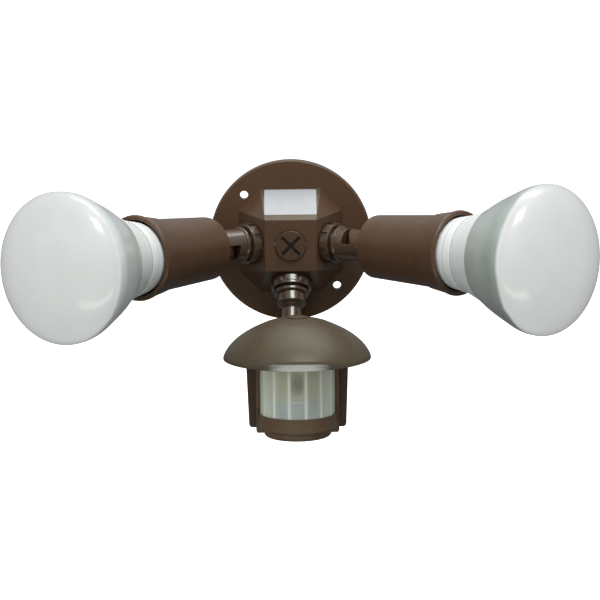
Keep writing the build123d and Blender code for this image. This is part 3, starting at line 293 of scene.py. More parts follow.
def bronze_finish(name, deep, light, peel_mm, rough, level, coat, dust,
                  coat_rough=0.08, coat_bend=1.5, peel=0.4, band=None, sunk=None):
    """Brown coat: pigment speckle, orange peel, thin edges, painted shade in recesses, dust on top.
    band puts an upright, glossier band above a lower edge and sunk paints shade into slots, with
    the settings of their helpers."""
    material, tree, shader = start_finish(name)
    rounded, edge = edge_share(tree, edge_rounding_mm)
    speckle = remap(tree, grain(tree, speckle_mm, detail=2.0), 0.35, 0.70, 0.0, speckle_share)
    cloud = cloud_of(tree, pigment_cloud_mm, 0.0, pigment_share, detail=4.0)
    colour = mix_colours(tree, speckle, deep, light)
    colour = mix_colours(tree, cloud, colour, light)
    thin = reckon(tree, "MULTIPLY", edge,
                  remap(tree, grain(tree, wear_mm), 0.35, 0.65, least_worn, most_worn))
    colour = mix_colours(tree, thin, colour, worn_brown)
    settled = reckon(tree, "MULTIPLY", upward_share(tree),
                     remap(tree, grain(tree, dust_mm), 0.4, 0.75, 0.0, dust))
    colour = mix_colours(tree, settled, colour, dust_colour)
    # painted shade: the less open a slot or corner is, the more of the dark brown it is painted with
    recess = reckon(tree, "MULTIPLY", recess_shade_mask(tree, recess_reach_mm), recess_shade)
    colour = mix_colours(tree, recess, colour, painted_shade_brown)
    # painted shade: slots darkened with their depth
    if sunk:
        colour = mix_colours(tree, sunk_share(tree, **sunk), colour, painted_shade_brown)
    if band:
        rounded, glossy = upright_band(tree, below=rounded, **band)
        coat = reckon(tree, "MULTIPLY", glossy, coat)
    uneven = cloud_of(tree, gloss_cloud_mm, rough - 0.03, rough + 0.05, detail=5.0)
    uneven = reckon(tree, "ADD", uneven, reckon(tree, "MULTIPLY", settled, dust_dulls))
    bumps = raise_grain(tree, grain(tree, peel_mm, detail=1.0), peel_depth_mm, peel, rounded)
    feed(tree, shader, Base_Color=colour, Roughness=uneven, Normal=bumps,
         Specular_IOR_Level=level, Specular_Tint=tent_tint, Coat_Weight=coat,
         Coat_Roughness=coat_rough, Coat_IOR=coat_bend, Coat_Normal=bumps)
    return material


enamel = {"deep": (0.071, 0.032, 0.0150), "light": (0.115, 0.063, 0.037)}
finishes["bronze_paint"] = bronze_finish(
    "satin_bronze_enamel", **enamel, peel_mm=1.1, rough=0.33, level=0.45, coat=0.0, dust=0.08)
# painted light: a lighter copy of the brown of the rear housing's moulding, for the light that falls on the front
# of the case and the other sensor pieces in this slot
finishes["bronze_plastic"] = bronze_finish(
    "lit_bronze_moulding", deep=(0.125, 0.072, 0.040), light=(0.180, 0.120, 0.076),
    peel_mm=0.45, rough=0.36, level=0.45, coat=0.0, dust=0.08)
turned_bronze = bronze_finish(
    "turned_bronze_enamel", deep=(0.058, 0.026, 0.013), light=(0.092, 0.054, 0.032),
    peel_mm=1.6, rough=0.29, level=0.60, coat=0.70, dust=0.04, coat_rough=0.21, peel=0.12)
hood_band = {"low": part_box("sensor_hood")[0].z, "band_mm": 4.0, "fade_mm": 3.0, "lean": 0.19}
hood_bronze = bronze_finish(
    "hood_moulding", deep=(0.074, 0.052, 0.030), light=(0.105, 0.080, 0.050),
    peel_mm=1.2, rough=0.44, level=0.40, coat=1.0, dust=0.06, coat_rough=0.20, coat_bend=2.0,
    band=hood_band)
rear_bronze = bronze_finish(
    "rear_moulding", deep=(0.066, 0.027, 0.012), light=(0.095, 0.046, 0.025),
    peel_mm=0.6, rough=0.40, level=0.35, coat=0.0, dust=0.08)
# painted shade in the plug's slots, from this depth to their floor
plug_slots = {"front_mm": -33.5, "floor_mm": -32.9}
plug_bronze = bronze_finish(
    "plug_enamel", deep=(0.062, 0.026, 0.0125), light=(0.098, 0.052, 0.030),
    peel_mm=1.1, rough=0.33, level=0.45, coat=0.0, dust=0.04, sunk=plug_slots)
coats = (*finishes.values(), turned_bronze, hood_bronze, rear_bronze, plug_bronze)
print("coats:", [finish.name for finish in coats])

# %% [markdown]
# ## The plain small finishes
#
# Rubber, porcelain, brass, plated steel, solder and the small mouldings inside
# differ in colour, gloss and grain, and share one recipe: two close colours mixed
# by a cloud of noise, roughness that varies a little, and a fine bump. One
# function makes them all, with a name for each number that sets them apart.

# %% Small finishes
rubbed_gain, rubbed_lift = 1.25, 0.02   # a rubbed edge is lighter by this factor and this much
rubbed_share = 0.4                      # the most of it that shows
least_rough, most_rough = 0.85, 1.2     # factors between which the roughness varies
bump_strength = 0.6


def plain_finish(name, first, second, cloud_mm, rough, bump_mm, bump_grain_mm,
                 metal=0.0, rounding_mm=0.2):
    """Two close colours in clouds, uneven gloss and a fine bump on rounded edges."""
    material, tree, shader = start_finish(name)
    rounded, edge = edge_share(tree, rounding_mm)
    cloud = cloud_of(tree, cloud_mm, detail=4.0)
    colour = mix_colours(tree, cloud, first, second)
    rubbed = tuple(min(1.0, rubbed_gain * value + rubbed_lift) for value in second)
    colour = mix_colours(tree, reckon(tree, "MULTIPLY", edge, rubbed_share), colour, rubbed)
    dullest = min(1.0, most_rough * rough)
    gloss = cloud_of(tree, cloud_mm / 3, least_rough * rough, dullest, detail=5.0)
    bumps = raise_grain(tree, grain(tree, bump_grain_mm), bump_mm, bump_strength, rounded)
    feed(tree, shader, Base_Color=colour, Roughness=gloss, Normal=bumps, Metallic=metal)
    return material


small = {
    "black_rubber": plain_finish(
        "gasket_rubber", (0.018, 0.018, 0.018), (0.035, 0.034, 0.032),
        cloud_mm=4.0, rough=0.75, bump_mm=0.04, bump_grain_mm=0.5),
    "white_label": plain_finish(
        "blank_label_film", (0.39, 0.405, 0.42), (0.42, 0.435, 0.445),
        cloud_mm=6.0, rough=0.42, bump_mm=0.01, bump_grain_mm=0.6),
    "green_screw": plain_finish(
        "green_screw_enamel", (0.02, 0.16, 0.05), (0.03, 0.22, 0.08),
        cloud_mm=2.0, rough=0.30, bump_mm=0.02, bump_grain_mm=0.6),
    "plated_steel": plain_finish(
        "zinc_plate", (0.50, 0.50, 0.47), (0.66, 0.65, 0.60),
        cloud_mm=1.5, rough=0.28, bump_mm=0.01, bump_grain_mm=0.3, metal=1.0),
    "detector_can": plain_finish(
        "nickel_can", (0.52, 0.51, 0.48), (0.62, 0.61, 0.58),
        cloud_mm=2.0, rough=0.25, bump_mm=0.01, bump_grain_mm=0.2, metal=1.0),
    "relay_black": plain_finish(
        "relay_moulding", (0.020, 0.020, 0.022), (0.035, 0.035, 0.038),
        cloud_mm=3.0, rough=0.35, bump_mm=0.02, bump_grain_mm=0.2),
    "pot_blue": plain_finish(
        "trimmer_moulding", (0.03, 0.09, 0.30), (0.05, 0.13, 0.38),
        cloud_mm=2.0, rough=0.40, bump_mm=0.02, bump_grain_mm=0.2),
    "porcelain": plain_finish(
        "glazed_porcelain", (0.80, 0.78, 0.72), (0.86, 0.85, 0.80),
        cloud_mm=5.0, rough=0.12, bump_mm=0.02, bump_grain_mm=1.5),
    "brass": plain_finish(
        "spun_brass", (0.62, 0.42, 0.16), (0.78, 0.58, 0.28),
        cloud_mm=3.0, rough=0.26, bump_mm=0.01, bump_grain_mm=0.3, metal=1.0),
    "lamp_base_metal": plain_finish(
        "rolled_aluminium", (0.62, 0.61, 0.58), (0.76, 0.75, 0.72),
        cloud_mm=2.5, rough=0.30, bump_mm=0.015, bump_grain_mm=0.3, metal=1.0),
    "base_insulator": plain_finish(
        "black_base_glass", (0.012, 0.012, 0.014), (0.03, 0.03, 0.035),
        cloud_mm=2.0, rough=0.10, bump_mm=0.02, bump_grain_mm=1.0),
    "solder": plain_finish(
        "solder_bead", (0.50, 0.50, 0.49), (0.66, 0.66, 0.64),
        cloud_mm=1.0, rough=0.34, bump_mm=0.05, bump_grain_mm=0.8, metal=1.0),
    "tube_phosphor": plain_finish(
        "phosphor_tube", (0.86, 0.86, 0.82), (0.93, 0.93, 0.90),
        cloud_mm=3.0, rough=0.22, bump_mm=0.01, bump_grain_mm=0.4),
    "cell_face": plain_finish(
        "photocell_track", (0.42, 0.16, 0.05), (0.62, 0.36, 0.16),
        cloud_mm=0.6, rough=0.15, bump_mm=0.01, bump_grain_mm=0.3),
}
finishes.update(small)
print("small finishes:", len(small))

# %% [markdown]
# ## Circuit boards
#
# The boards are seen only when the case is open or a lamp is pulled, but they
# should read as boards: green solder mask over copper tracks. The tracks could be
# drawn as geometry, which would cost thousands of faces for a hidden piece, so
# two brick patterns laid across each other give straight tracks in the colour and
# in the bump.

# %% Circuit board finish
track_width = 0.25 * millimetre
track_length = 8.5 * millimetre
track_pitch = 2.1 * millimetre
track_height_mm = 0.05
mask_cloud_mm = 4.0
mask_smooth, mask_dull = 0.22, 0.34     # roughness of the mask, between its clouds and in them


def board_finish(name):
    """Green mask with raised straight tracks from two crossed brick patterns."""
    material, tree, shader = start_finish(name)
    black, white = (0, 0, 0, 1), (1, 1, 1, 1)
    tracks = []
    for turn in (0.0, np.pi / 2):
        mapping = lay(tree, "ShaderNodeMapping", {
            "Vector": place(tree), "Rotation": (np.pi / 2, turn, 0.0)})
        brick = lay(tree, "ShaderNodeTexBrick", {
            "Vector": mapping.outputs["Vector"], "Color1": black, "Color2": black, "Mortar": white,
            "Scale": 1.0, "Mortar Size": track_width, "Mortar Smooth": 0.2,
            "Brick Width": track_length, "Row Height": track_pitch,
        })
        tracks.append(brick.outputs["Color"])
    both = reckon(tree, "MAXIMUM", *tracks)
    cloud = cloud_of(tree, mask_cloud_mm)
    mask = mix_colours(tree, cloud, (0.012, 0.10, 0.04), (0.02, 0.14, 0.06))
    colour = mix_colours(tree, both, mask, (0.06, 0.26, 0.10))
    rough = remap(tree, cloud, 0, 1, mask_smooth, mask_dull)
    feed(tree, shader, Base_Color=colour, Roughness=rough,
         Normal=raise_grain(tree, both, track_height_mm))
    return material


finishes["circuit_board"] = board_finish("solder_mask")
print("board finish:", finishes["circuit_board"].name)

# %% [markdown]
# ## Finishes that follow a lamp's axis
#
# The collar of each lamp is a white moulding with a fine seam near its mouth and
# a greyer ring beyond the ridge. The bulb is silvered inside from its neck to
# nearly its widest ring, so it looks like grey-green metal behind glass there,
# and frosted from there on. These zones are rings about the lamp's axis: the
# distance along the axis is the dot product of the point, counted from the
# knuckle, with the axis.

# %% Distance along the lamp
def along_lamp(tree, side):
    """Millimetres along the lamp's axis from the knuckle."""
    point, along = lamp_axis(side)
    offset = lay(tree, "ShaderNodeVectorMath", {0: place(tree), 1: tuple(point)},
                 operation="SUBTRACT")
    dot = lay(tree, "ShaderNodeVectorMath", {0: offset.outputs["Vector"], 1: tuple(along)},
              operation="DOT_PRODUCT")
    return reckon(tree, "MULTIPLY", dot.outputs["Value"], 1 / millimetre)


def ring_line(tree, distance, station, half_width):
    """1 on a ring round the axis at the station, falling to 0 at half_width from it."""
    core = 0.4          # the part of its width on which it is 1
    off = reckon(tree, "ABSOLUTE", reckon(tree, "SUBTRACT", distance, station))
    return remap(tree, off, half_width, core * half_width)


mouth_at = {}           # mm from the knuckle to the mouth of the holder, for each side
for side in sides:
    point, along = lamp_axis(side)
    holder = nodes[side + "_lampholder"].data
    corners = np.empty(len(holder.vertices) * 3)
    holder.vertices.foreach_get("co", corners)
    mouth_at[side] = ((corners.reshape(-1, 3) - point) @ along).max() / millimetre
    print(side, "mouth of the holder at", round(mouth_at[side], 2), "mm from the knuckle")

# %% [markdown]
# ## The white collar
#
# The collar is a smooth white moulding, so it needs little: clouds that are only
# just there, two fine dark lines where its parts meet, and a warmer shade deep in
# the holder, where light comes to it off brown paint.

# %% Collar finish
seam_out = 5.2          # seam of the collar, mm beyond the holder's mouth
seam_half = 0.35        # half its width
ridge_out = 12.0        # the greyer ring starts here, at a second dark line
ridge_half = 0.45       # half the width of that line
ring_blend = 0.3        # half the width over which the tone changes there
shade_from = -14.0      # the warm shade inside the holder fades from here
shade_to = 1.0          # to here
line_share = 0.65       # how much of the lines' grey shows
line_depth_mm = 0.15
collar_smooth, collar_dull = 0.36, 0.42


def collar_finish(side):
    """White moulding with a seam line and a greyer ring beyond the ridge."""
    material, tree, shader = start_finish(side + "_collar_moulding")
    distance = along_lamp(tree, side)
    mouth = mouth_at[side]
    cloud = cloud_of(tree, 7.0)
    white = mix_colours(tree, cloud, (0.79, 0.805, 0.79), (0.82, 0.83, 0.815))
    ridge_at = mouth + ridge_out
    ring = remap(tree, distance, ridge_at - ring_blend, ridge_at + ring_blend)
    colour = mix_colours(tree, ring, white, (0.73, 0.76, 0.725))
    seam = ring_line(tree, distance, mouth + seam_out, seam_half)
    ridge = ring_line(tree, distance, ridge_at, ridge_half)
    lines = reckon(tree, "MAXIMUM", seam, ridge)
    drawn = reckon(tree, "MULTIPLY", lines, line_share)
    colour = mix_colours(tree, drawn, colour, (0.30, 0.32, 0.31))
    in_the_open = remap(tree, distance, mouth + shade_from, mouth + shade_to)
    colour = mix_colours(tree, in_the_open, (0.55, 0.53, 0.47), colour)
    grooves = raise_grain(tree, reckon(tree, "SUBTRACT", 1.0, lines), line_depth_mm)
    fine = raise_grain(tree, grain(tree, 0.8), 0.004, 0.5, grooves)
    rough = remap(tree, cloud, 0, 1, collar_smooth, collar_dull)
    feed(tree, shader, Base_Color=colour, Roughness=rough, Normal=fine)
    return material


collars = {side: collar_finish(side) for side in sides}
print("collars:", [material.name for material in collars.values()])

# %% [markdown]
# ## The bulb
#
# A reflector bulb has one clear skin of glass, silvered inside at the back and
# frosted inside at the front. Light enters the frosted part and is scattered all
# about, so its shaded side stays nearly as bright as its lit side. Real refraction
# through two coats would be slow and noisy, so the scattered light is painted in as a
# weak glow that fades at the limb, where the eye looks along the glass and sees its
# green; the colour there is painted darker too, partly that green and partly painted
# shade at the outline. The silvering is painted lighter on the left lamp than on the
# right, with a faint painted glow, for how the light falls on each.

# %% Bulb finish
silver_out = 69.5       # end of the silvered part of the bulb, mm beyond the mouth
border_waver_mm = 0.6   # how far the edge of the silvering strays
thins_before, thins_after = 1.6, 1.4    # it thins out from here before its border to here after
arc_after, arc_half, arc_share = 0.8, 1.8, 0.25     # a faint arc runs along that border
neck_from = 34.0        # the neck's own tone fades from this far before the border
neck_to = 6.0           # to this far before it
# painted shade: the outline of the bulb is painted darker and greener, partly the glass's own green seen edge-on,
# partly shade
limb_blend = 0.22       # how soon the layer weight rises from 0, face on, to 1 at the outline
limb_from = 0.25        # the limb's green starts at this weight
limb_share = 0.55       # and is this strong at the outline
silver_metal = 0.18
silver_rough, frost_rough = 0.34, 0.52
inner_glow = 0.47       # light that the frosting scatters about inside the bulb
# painted light: the left lamp's silvering is painted lighter and the right one's darker, for how the light falls
# on each
silver_tones_as_lit = {        # darker and lighter tone of the silvering, as each side shows it
    "left": ((0.52, 0.57, 0.56), (0.62, 0.67, 0.66)),
    "right": ((0.30, 0.355, 0.315), (0.41, 0.46, 0.42)),
}
# painted light: a faint glow painted on the silvering to lighten it, more on the left
painted_silver_glow = {"left": 0.12, "right": 0.03}     # light that comes through the silvering


def bulb_finish(side):
    """Silvered back behind clear glass, then a frosted face under the same gloss."""
    material, tree, shader = start_finish(side + "_reflector_bulb")
    distance = along_lamp(tree, side)
    border = mouth_at[side] + silver_out
    wavy = reckon(tree, "ADD", distance, cloud_of(tree, 14.0, -border_waver_mm, border_waver_mm))
    frosted = remap(tree, wavy, border - thins_before, border + thins_after)
    cloud = cloud_of(tree, 18.0, detail=4.0)
    # painted light: this side's lit or shaded tone of the silvering
    silver = mix_colours(tree, cloud, *silver_tones_as_lit[side])
    past_neck = remap(tree, distance, border - neck_from, border - neck_to)
    silver = mix_colours(tree, past_neck, (0.52, 0.56, 0.52), silver)
    frost = mix_colours(tree, cloud, (0.20, 0.207, 0.20), (0.235, 0.24, 0.232))
    colour = mix_colours(tree, frosted, silver, frost)
    arc = reckon(tree, "MULTIPLY", ring_line(tree, wavy, border + arc_after, arc_half), arc_share)
    colour = mix_colours(tree, arc, colour, (0.50, 0.53, 0.51))
    # painted shade: darker and greener towards the outline, partly the glass's own green, partly shade; the
    # painted glow fades there too
    facing = lay(tree, "ShaderNodeLayerWeight", {"Blend": limb_blend}).outputs["Facing"]
    limb = remap(tree, facing, limb_from, 1.0, 0.0, limb_share)
    colour = mix_colours(tree, limb, colour, (0.20, 0.225, 0.21))
    # painted light: the frosting's scattered light and the silvering's glow are painted in as emission
    inside = remap(tree, frosted, 0, 1, painted_silver_glow[side], inner_glow)
    glow = reckon(tree, "MULTIPLY", inside, reckon(tree, "SUBTRACT", 1.0, limb))
    metal = remap(tree, frosted, 0, 1, silver_metal, 0.0)
    rough = remap(tree, frosted, 0, 1, silver_rough, frost_rough)
    fine = raise_grain(tree, grain(tree, 0.5), 0.006, 0.5)
    feed(tree, shader, Base_Color=colour, Metallic=metal, Roughness=rough, Normal=fine,
         Coat_Weight=0.7, Coat_Roughness=0.16, Emission_Color=(0.97, 1.0, 0.97),
         Emission_Strength=glow)
    return material


bulbs = {side: bulb_finish(side) for side in sides}
print("bulbs:", [material.name for material in bulbs.values()])

# %% [markdown]
# ## Dress the CAD pieces
#
# Each CAD piece names a material slot in the record, so most pieces take their
# finish from that name. The lamps' white pieces and bulbs take the finish of
# their own side, and a few bronze pieces have a coat of their own: the turned
# ones are glossier, and the hood, the rear housing and the plug differ in tone.

# %% Assign the finishes
slot_of = {part["node"]: part["material_slot"] for part in frame["record"]["subparts"]}
finishes["lens_plastic"] = plain_finish(
    "lens_film_spare", (0.60, 0.62, 0.56), (0.66, 0.68, 0.62),
    cloud_mm=5.0, rough=0.35, bump_mm=0.01, bump_grain_mm=0.6)
turned_pieces = ("left_stem", "right_stem", "sensor_stem", "sensor_ball_neck",
                 "left_locknut", "right_locknut", "sensor_locknut")
own_coat = {name: turned_bronze for name in turned_pieces}
own_coat["sensor_hood"] = hood_bronze
own_coat["sensor_rear_housing"] = rear_bronze
own_coat["centre_plug"] = plug_bronze
by_side = {"lamp_white": collars, "frosted_glass": bulbs}


def finish_of(name):
    """The finish of a CAD piece: its own coat, its own lamp's, or else its slot's."""
    if name in own_coat:
        return own_coat[name]
    if slot_of[name] in by_side:
        side = name.split("_")[0]
        return by_side[slot_of[name]][side]
    return finishes[slot_of[name]]


for name, node in nodes.items():
    for slot in node.material_slots:
        slot.material = finish_of(name)
print("dressed", len(nodes), "pieces in", len(set(slot_of.values())), "slots")

# %% [markdown]
# ## The ribbed lens
#
# The lens is a thin milky film, bent into a half round in front of the detector.
# It is pressed into tall cells, each with a field of fine rings that gather heat
# from its own beam, and the cells meet in upright ribs. A row of box shapes could
# fake the ribs, but light runs softly over real film, so the film is one surface:
# a path round the half circle, carried up through its height, whose depth falls a
# little between the ribs.

# %% Mesh helper
def make_mesh(name, points, faces):
    """A mesh piece at the origin, shaded smooth, from whole arrays of points and faces."""
    mesh = bpy.data.meshes.new(name)
    mesh.from_pydata(points.tolist(), [], [tuple(face) for face in faces.tolist()])
    mesh.validate()
    mesh.polygons.foreach_set("use_smooth", np.ones(len(mesh.polygons), bool))
    piece = bpy.data.objects.new(name, mesh)
    bpy.context.scene.collection.objects.link(piece)
    print(name, "has", len(mesh.vertices), "points and", len(mesh.polygons), "faces")
    return piece


def loop_grid(rows, columns):
    """Quads of a grid whose last column joins its first, rows running one way."""
    row = np.arange(rows - 1)[:, None] * columns
    here = np.arange(columns)[None, :]
    after = (here + 1) % columns
    corners = [row + here, row + after, row + columns + after, row + columns + here]
    return np.stack(corners, -1).reshape(-1, 4)


# %% [markdown]
# The path and the depth are formulas of two numbers: the angle round the lens and
# the share of its height. A moulding tool is cut the same way, rib by rib at even
# angles, and each cell is a shallow hollow between them.

# %% Path and depth of the film
rib_angles = np.radians([-65.0, -39.0, -13.0, 13.0, 39.0, 65.0])
film_thickness = 0.9 * millimetre
cell_depth = 0.45 * millimetre
rib_width = np.radians(2.3)
divide_share = 0.31         # height of the line between the two rows of cells
divide_width = 0.012        # its width, as a share of the height
divide_rise = 0.75          # how much of the hollow it fills
end_share = 0.05            # the hollows fade out over this share at both ends
hollow_power = 0.6          # under 1, so that a cell is flat in its middle
side_steps = 6


def film_path(radius, straight, steps):
    """A U from back left, round the front, to back right, as (x, y, angle): the angle
    is counted from straight ahead and held at 90 degrees along the straight sides."""
    angle = np.linspace(-np.pi / 2, np.pi / 2, steps)
    back = np.linspace(straight, 0, side_steps, endpoint=False)
    left = np.stack([np.full(side_steps, -radius), back, np.full(side_steps, -np.pi / 2)])
    arc = np.stack([radius * np.sin(angle), -radius * np.cos(angle), angle])
    right = np.stack([np.full(side_steps, radius), back[::-1], np.full(side_steps, np.pi / 2)])
    return np.concatenate([left, arc, right], axis=1)


def film_depth(angle, share):
    """How far the film lies inside its outermost radius: nothing on a rib, and the
    cell's depth half way between two ribs, following a power of a sine; shallower at
    both ends of the height and on the line between the two rows of cells."""
    edges = np.concatenate([[-np.pi / 2], rib_angles, [np.pi / 2]])
    cell = np.clip(np.searchsorted(edges, angle) - 1, 0, len(edges) - 2)
    across = (angle - edges[cell]) / (edges[cell + 1] - edges[cell])
    hollow = np.sin(np.pi * np.clip(across, 0, 1)) ** hollow_power
    line = 1 - divide_rise * np.exp(-((share - divide_share) / divide_width) ** 2)
    ends = np.clip(np.minimum(share, 1 - share) / end_share, 0, 1)
    return cell_depth * hollow * line * ends


# %% [markdown]
# The film takes its radius, height and place from the CAD lens, so it stays in
# that solid's space. Its outer and inner walls are two grids over the same path,
# joined into one closed ring at each height, with a lid at both ends.

# %% Lens film
lens_low, lens_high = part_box("fresnel_lens")
lens_radius = (lens_high.x - lens_low.x) / 2
lens_middle = Vector(((lens_low.x + lens_high.x) / 2, lens_low.y + lens_radius, 0))
lens_straight = lens_high.y - lens_middle.y
levels = 90
path_steps = 361
outer = film_path(lens_radius, lens_straight, path_steps)
inner = film_path(lens_radius - film_thickness, lens_straight, path_steps)
heights = np.linspace(lens_low.z, lens_high.z, levels)
share = ((heights - lens_low.z) / (lens_high.z - lens_low.z))[:, None]
shrink = 1 - film_depth(outer[2][None, :], share) / lens_radius
outer_points = np.stack([
    lens_middle.x + outer[0] * shrink,
    lens_middle.y + np.where(outer[1] > 0, outer[1], outer[1] * shrink),
    np.repeat(heights[:, None], outer.shape[1], axis=1),
], -1)
inner_points = np.stack([
    np.repeat((lens_middle.x + inner[0])[None, :], levels, axis=0),
    np.repeat((lens_middle.y + inner[1])[None, :], levels, axis=0),
    np.repeat(heights[:, None], inner.shape[1], axis=1),
], -1)
ring = np.concatenate([outer_points, inner_points[:, ::-1]], axis=1)
columns = ring.shape[1]
start = np.arange(outer.shape[1] - 1)
lid = np.stack([start, columns - 1 - start, columns - 2 - start, start + 1], -1)
top_lid = (lid + (levels - 1) * columns)[:, ::-1]
faces = np.concatenate([loop_grid(levels, columns), lid, top_lid])
lens_film = make_mesh("lens_film", ring.reshape(-1, 3), faces)

rib = np.exp(-(np.abs(outer[2][None, :, None] - rib_angles) / rib_width) ** 2).max(-1)
rib = np.repeat(rib, levels, axis=0)
marks = lens_film.data.attributes.new("rib", "FLOAT", "POINT")
marks.data.foreach_set("value", np.concatenate([rib, np.zeros_like(rib)], axis=1).ravel())
print("lens radius", round(lens_radius / millimetre, 2), "mm, ribs", len(rib_angles))
print("deepest cell", round((1 - shrink.min()) * lens_radius / millimetre, 2), "mm")

# %% [markdown]
# Behind the milky film lies a dark case with the detector in it, and the light
# from the table fills the lower cells. The film could be made to let light through
# for real, but that is slow and noisy at this size, so its colour paints what shows
# through it and how it is lit: olive above, which is painted shade under the hood
# over the dark case, bluer below, which is painted light from the table, whiter on
# the ribs, where the plastic is thickest, and a brown spot before the detector.

# %% Lens finish
detector_spot = 6 * millimetre              # half width of the dark spot
spot_height, spot_half_height = 0.58, 0.20  # as shares of the lens's height
spot_core, spot_share = 0.1, 0.55           # full within this share of its area, and how dark
olive_below, olive_above = 0.06, 0.12       # blue turns to olive this far round the divide
side_from, side_to = 0.45, 0.98             # the sides pale from and to these parts of the radius
divide_arc = (4.0 * millimetre, 5.0 * millimetre)   # the light arc fades between these
divide_faint, divide_full = 0.022, 0.004    # and over these heights off the divide
divide_white = 0.5
rim_from, rim_to, rim_share = 0.90, 0.985, 0.6      # the paler strip below the hood
rib_share = 0.95
film_glow = 0.03                            # light that the film scatters from behind
film_smooth, film_dull = 0.26, 0.40
grooves_scale = 260.0                       # rings to the metre, times 2 pi over 20
groove_depth_mm = 0.03


def lens_finish():
    """Milky film: whiter on the ribs, olive above, painted shade under the hood where the dark case
    shows through, bluer below, painted light from the table, a soft dark spot where the detector
    sits, and fine round grooves."""
    material, tree, shader = start_finish("milky_lens_film")
    where = place(tree)
    parts = lay(tree, "ShaderNodeSeparateXYZ", {"Vector": where})
    height = remap(tree, parts.outputs["Z"], lens_low.z, lens_high.z)
    # painted shade under the hood above the divide, painted light from the table below it
    upper = remap(tree, height, divide_share - olive_below, divide_share + olive_above)
    cloud = cloud_of(tree, 9.0, stretch=(1, 1, 0.4))
    table_lit_colour = mix_colours(tree, cloud, (0.40, 0.46, 0.43), (0.47, 0.53, 0.50))
    hood_shade_colour = mix_colours(tree, cloud, (0.46, 0.46, 0.31), (0.52, 0.52, 0.38))
    colour = mix_colours(tree, upper, table_lit_colour, hood_shade_colour)
    off_middle = reckon(tree, "SUBTRACT", parts.outputs["X"], lens_middle.x)
    across = reckon(tree, "ABSOLUTE", off_middle)
    outward = remap(tree, across, side_from * lens_radius, side_to * lens_radius)
    colour = mix_colours(tree, outward, colour, (0.78, 0.84, 0.68))
    sideways = reckon(tree, "DIVIDE", across, detector_spot)
    lift = reckon(tree, "DIVIDE", reckon(tree, "SUBTRACT", height, spot_height), spot_half_height)
    near = reckon(tree, "ADD", reckon(tree, "MULTIPLY", sideways, sideways),
                  reckon(tree, "MULTIPLY", lift, lift))
    shaded = remap(tree, near, 1.0, spot_core, 0.0, spot_share)
    colour = mix_colours(tree, shaded, colour, (0.085, 0.062, 0.035))
    off_line = reckon(tree, "ABSOLUTE", reckon(tree, "SUBTRACT", height, divide_share))
    line = remap(tree, off_line, divide_faint, divide_full, 0.0, divide_white)
    middle_cell = remap(tree, across, divide_arc[1], divide_arc[0])
    arc = reckon(tree, "MULTIPLY", line, middle_cell)
    colour = mix_colours(tree, arc, colour, (0.66, 0.70, 0.64))
    under_hood = remap(tree, height, rim_from, rim_to, 0.0, rim_share)
    colour = mix_colours(tree, under_hood, colour, (0.60, 0.62, 0.54))
    ribs = lay(tree, "ShaderNodeAttribute", attribute_name="rib").outputs["Fac"]
    ribs = reckon(tree, "MULTIPLY", ribs, rib_share)
    colour = mix_colours(tree, ribs, colour, (0.93, 0.95, 0.85))
    mapping = lay(tree, "ShaderNodeMapping", {
        "Vector": where, "Location": (-lens_middle.x, 0.0, -(lens_low.z + lens_high.z) / 2)})
    rings = lay(tree, "ShaderNodeTexWave", {
        "Vector": mapping.outputs["Vector"], "Scale": grooves_scale, "Distortion": 0.0},
        wave_type="RINGS", rings_direction="Y")
    grooves = raise_grain(tree, rings.outputs["Color"], groove_depth_mm, 0.5)
    rough = remap(tree, cloud, 0, 1, film_smooth, film_dull)
    feed(tree, shader, Base_Color=colour, Roughness=rough, Normal=grooves,
         Coat_Weight=0.25, Coat_Roughness=0.15,
         Emission_Color=(0.95, 1.0, 0.86), Emission_Strength=film_glow)
    return material


lens_film.data.materials.append(lens_finish())
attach(lens_film, "sensor_head")
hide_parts("fresnel_lens")
print("lens finish:", lens_film.data.materials[0].name)

# %% [markdown]
# ## Studio: the backdrop
#
# A catalogue picture is shot before an even white sweep: a floor that bends up
# into a wall, so no line shows behind the object. It glows by itself here, which
# keeps the backdrop white, and neither the gloss nor the shade of the object takes
# light from it, so that shading comes from the lights and the world.

# %% Sweep
floor_z = -0.80
front_y = -5.0
back_y = 2.6
wall_top = 4.5
sweep_radius = 1.4
half_width = 5.0
bend_steps = 24


def sweep_points(steps):
    """Profile of the sweep as (y, z): level floor, quarter circle, upright wall."""
    turn = np.linspace(0, np.pi / 2, steps)
    bend_y = back_y - sweep_radius + sweep_radius * np.sin(turn)
    bend_z = floor_z + sweep_radius - sweep_radius * np.cos(turn)
    y = np.concatenate([[front_y], bend_y, [back_y]])
    z = np.concatenate([[floor_z], bend_z, [wall_top]])
    return y, z


profile_y, profile_z = sweep_points(bend_steps)
rows = len(profile_y)
sweep_grid = np.concatenate([
    np.stack([np.full(rows, x), profile_y, profile_z], -1) for x in (-half_width, half_width)])
step = np.arange(rows - 1)
sweep_faces = np.stack([step, step + rows, step + rows + 1, step + 1], -1)
sweep = make_mesh("studio_sweep", sweep_grid, sweep_faces)
paper, tree, shader = start_finish("pale_paper")
feed(tree, shader, Base_Color=(0.92, 0.92, 0.92), Roughness=0.9,
     Emission_Color=(1.0, 1.0, 1.0), Emission_Strength=0.9)
sweep.data.materials.append(paper)
sweep.visible_glossy = False
sweep.visible_diffuse = False

# %% [markdown]
# ## Studio: the light from all round
#
# The walls of a white tent light the object from everywhere, most from above. The
# world does that here: bright above, dim from twenty degrees below the horizon,
# which leaves the flat front faces and the lower slopes of the boss in warm shade,
# and brighter again straight below, where the table lies.

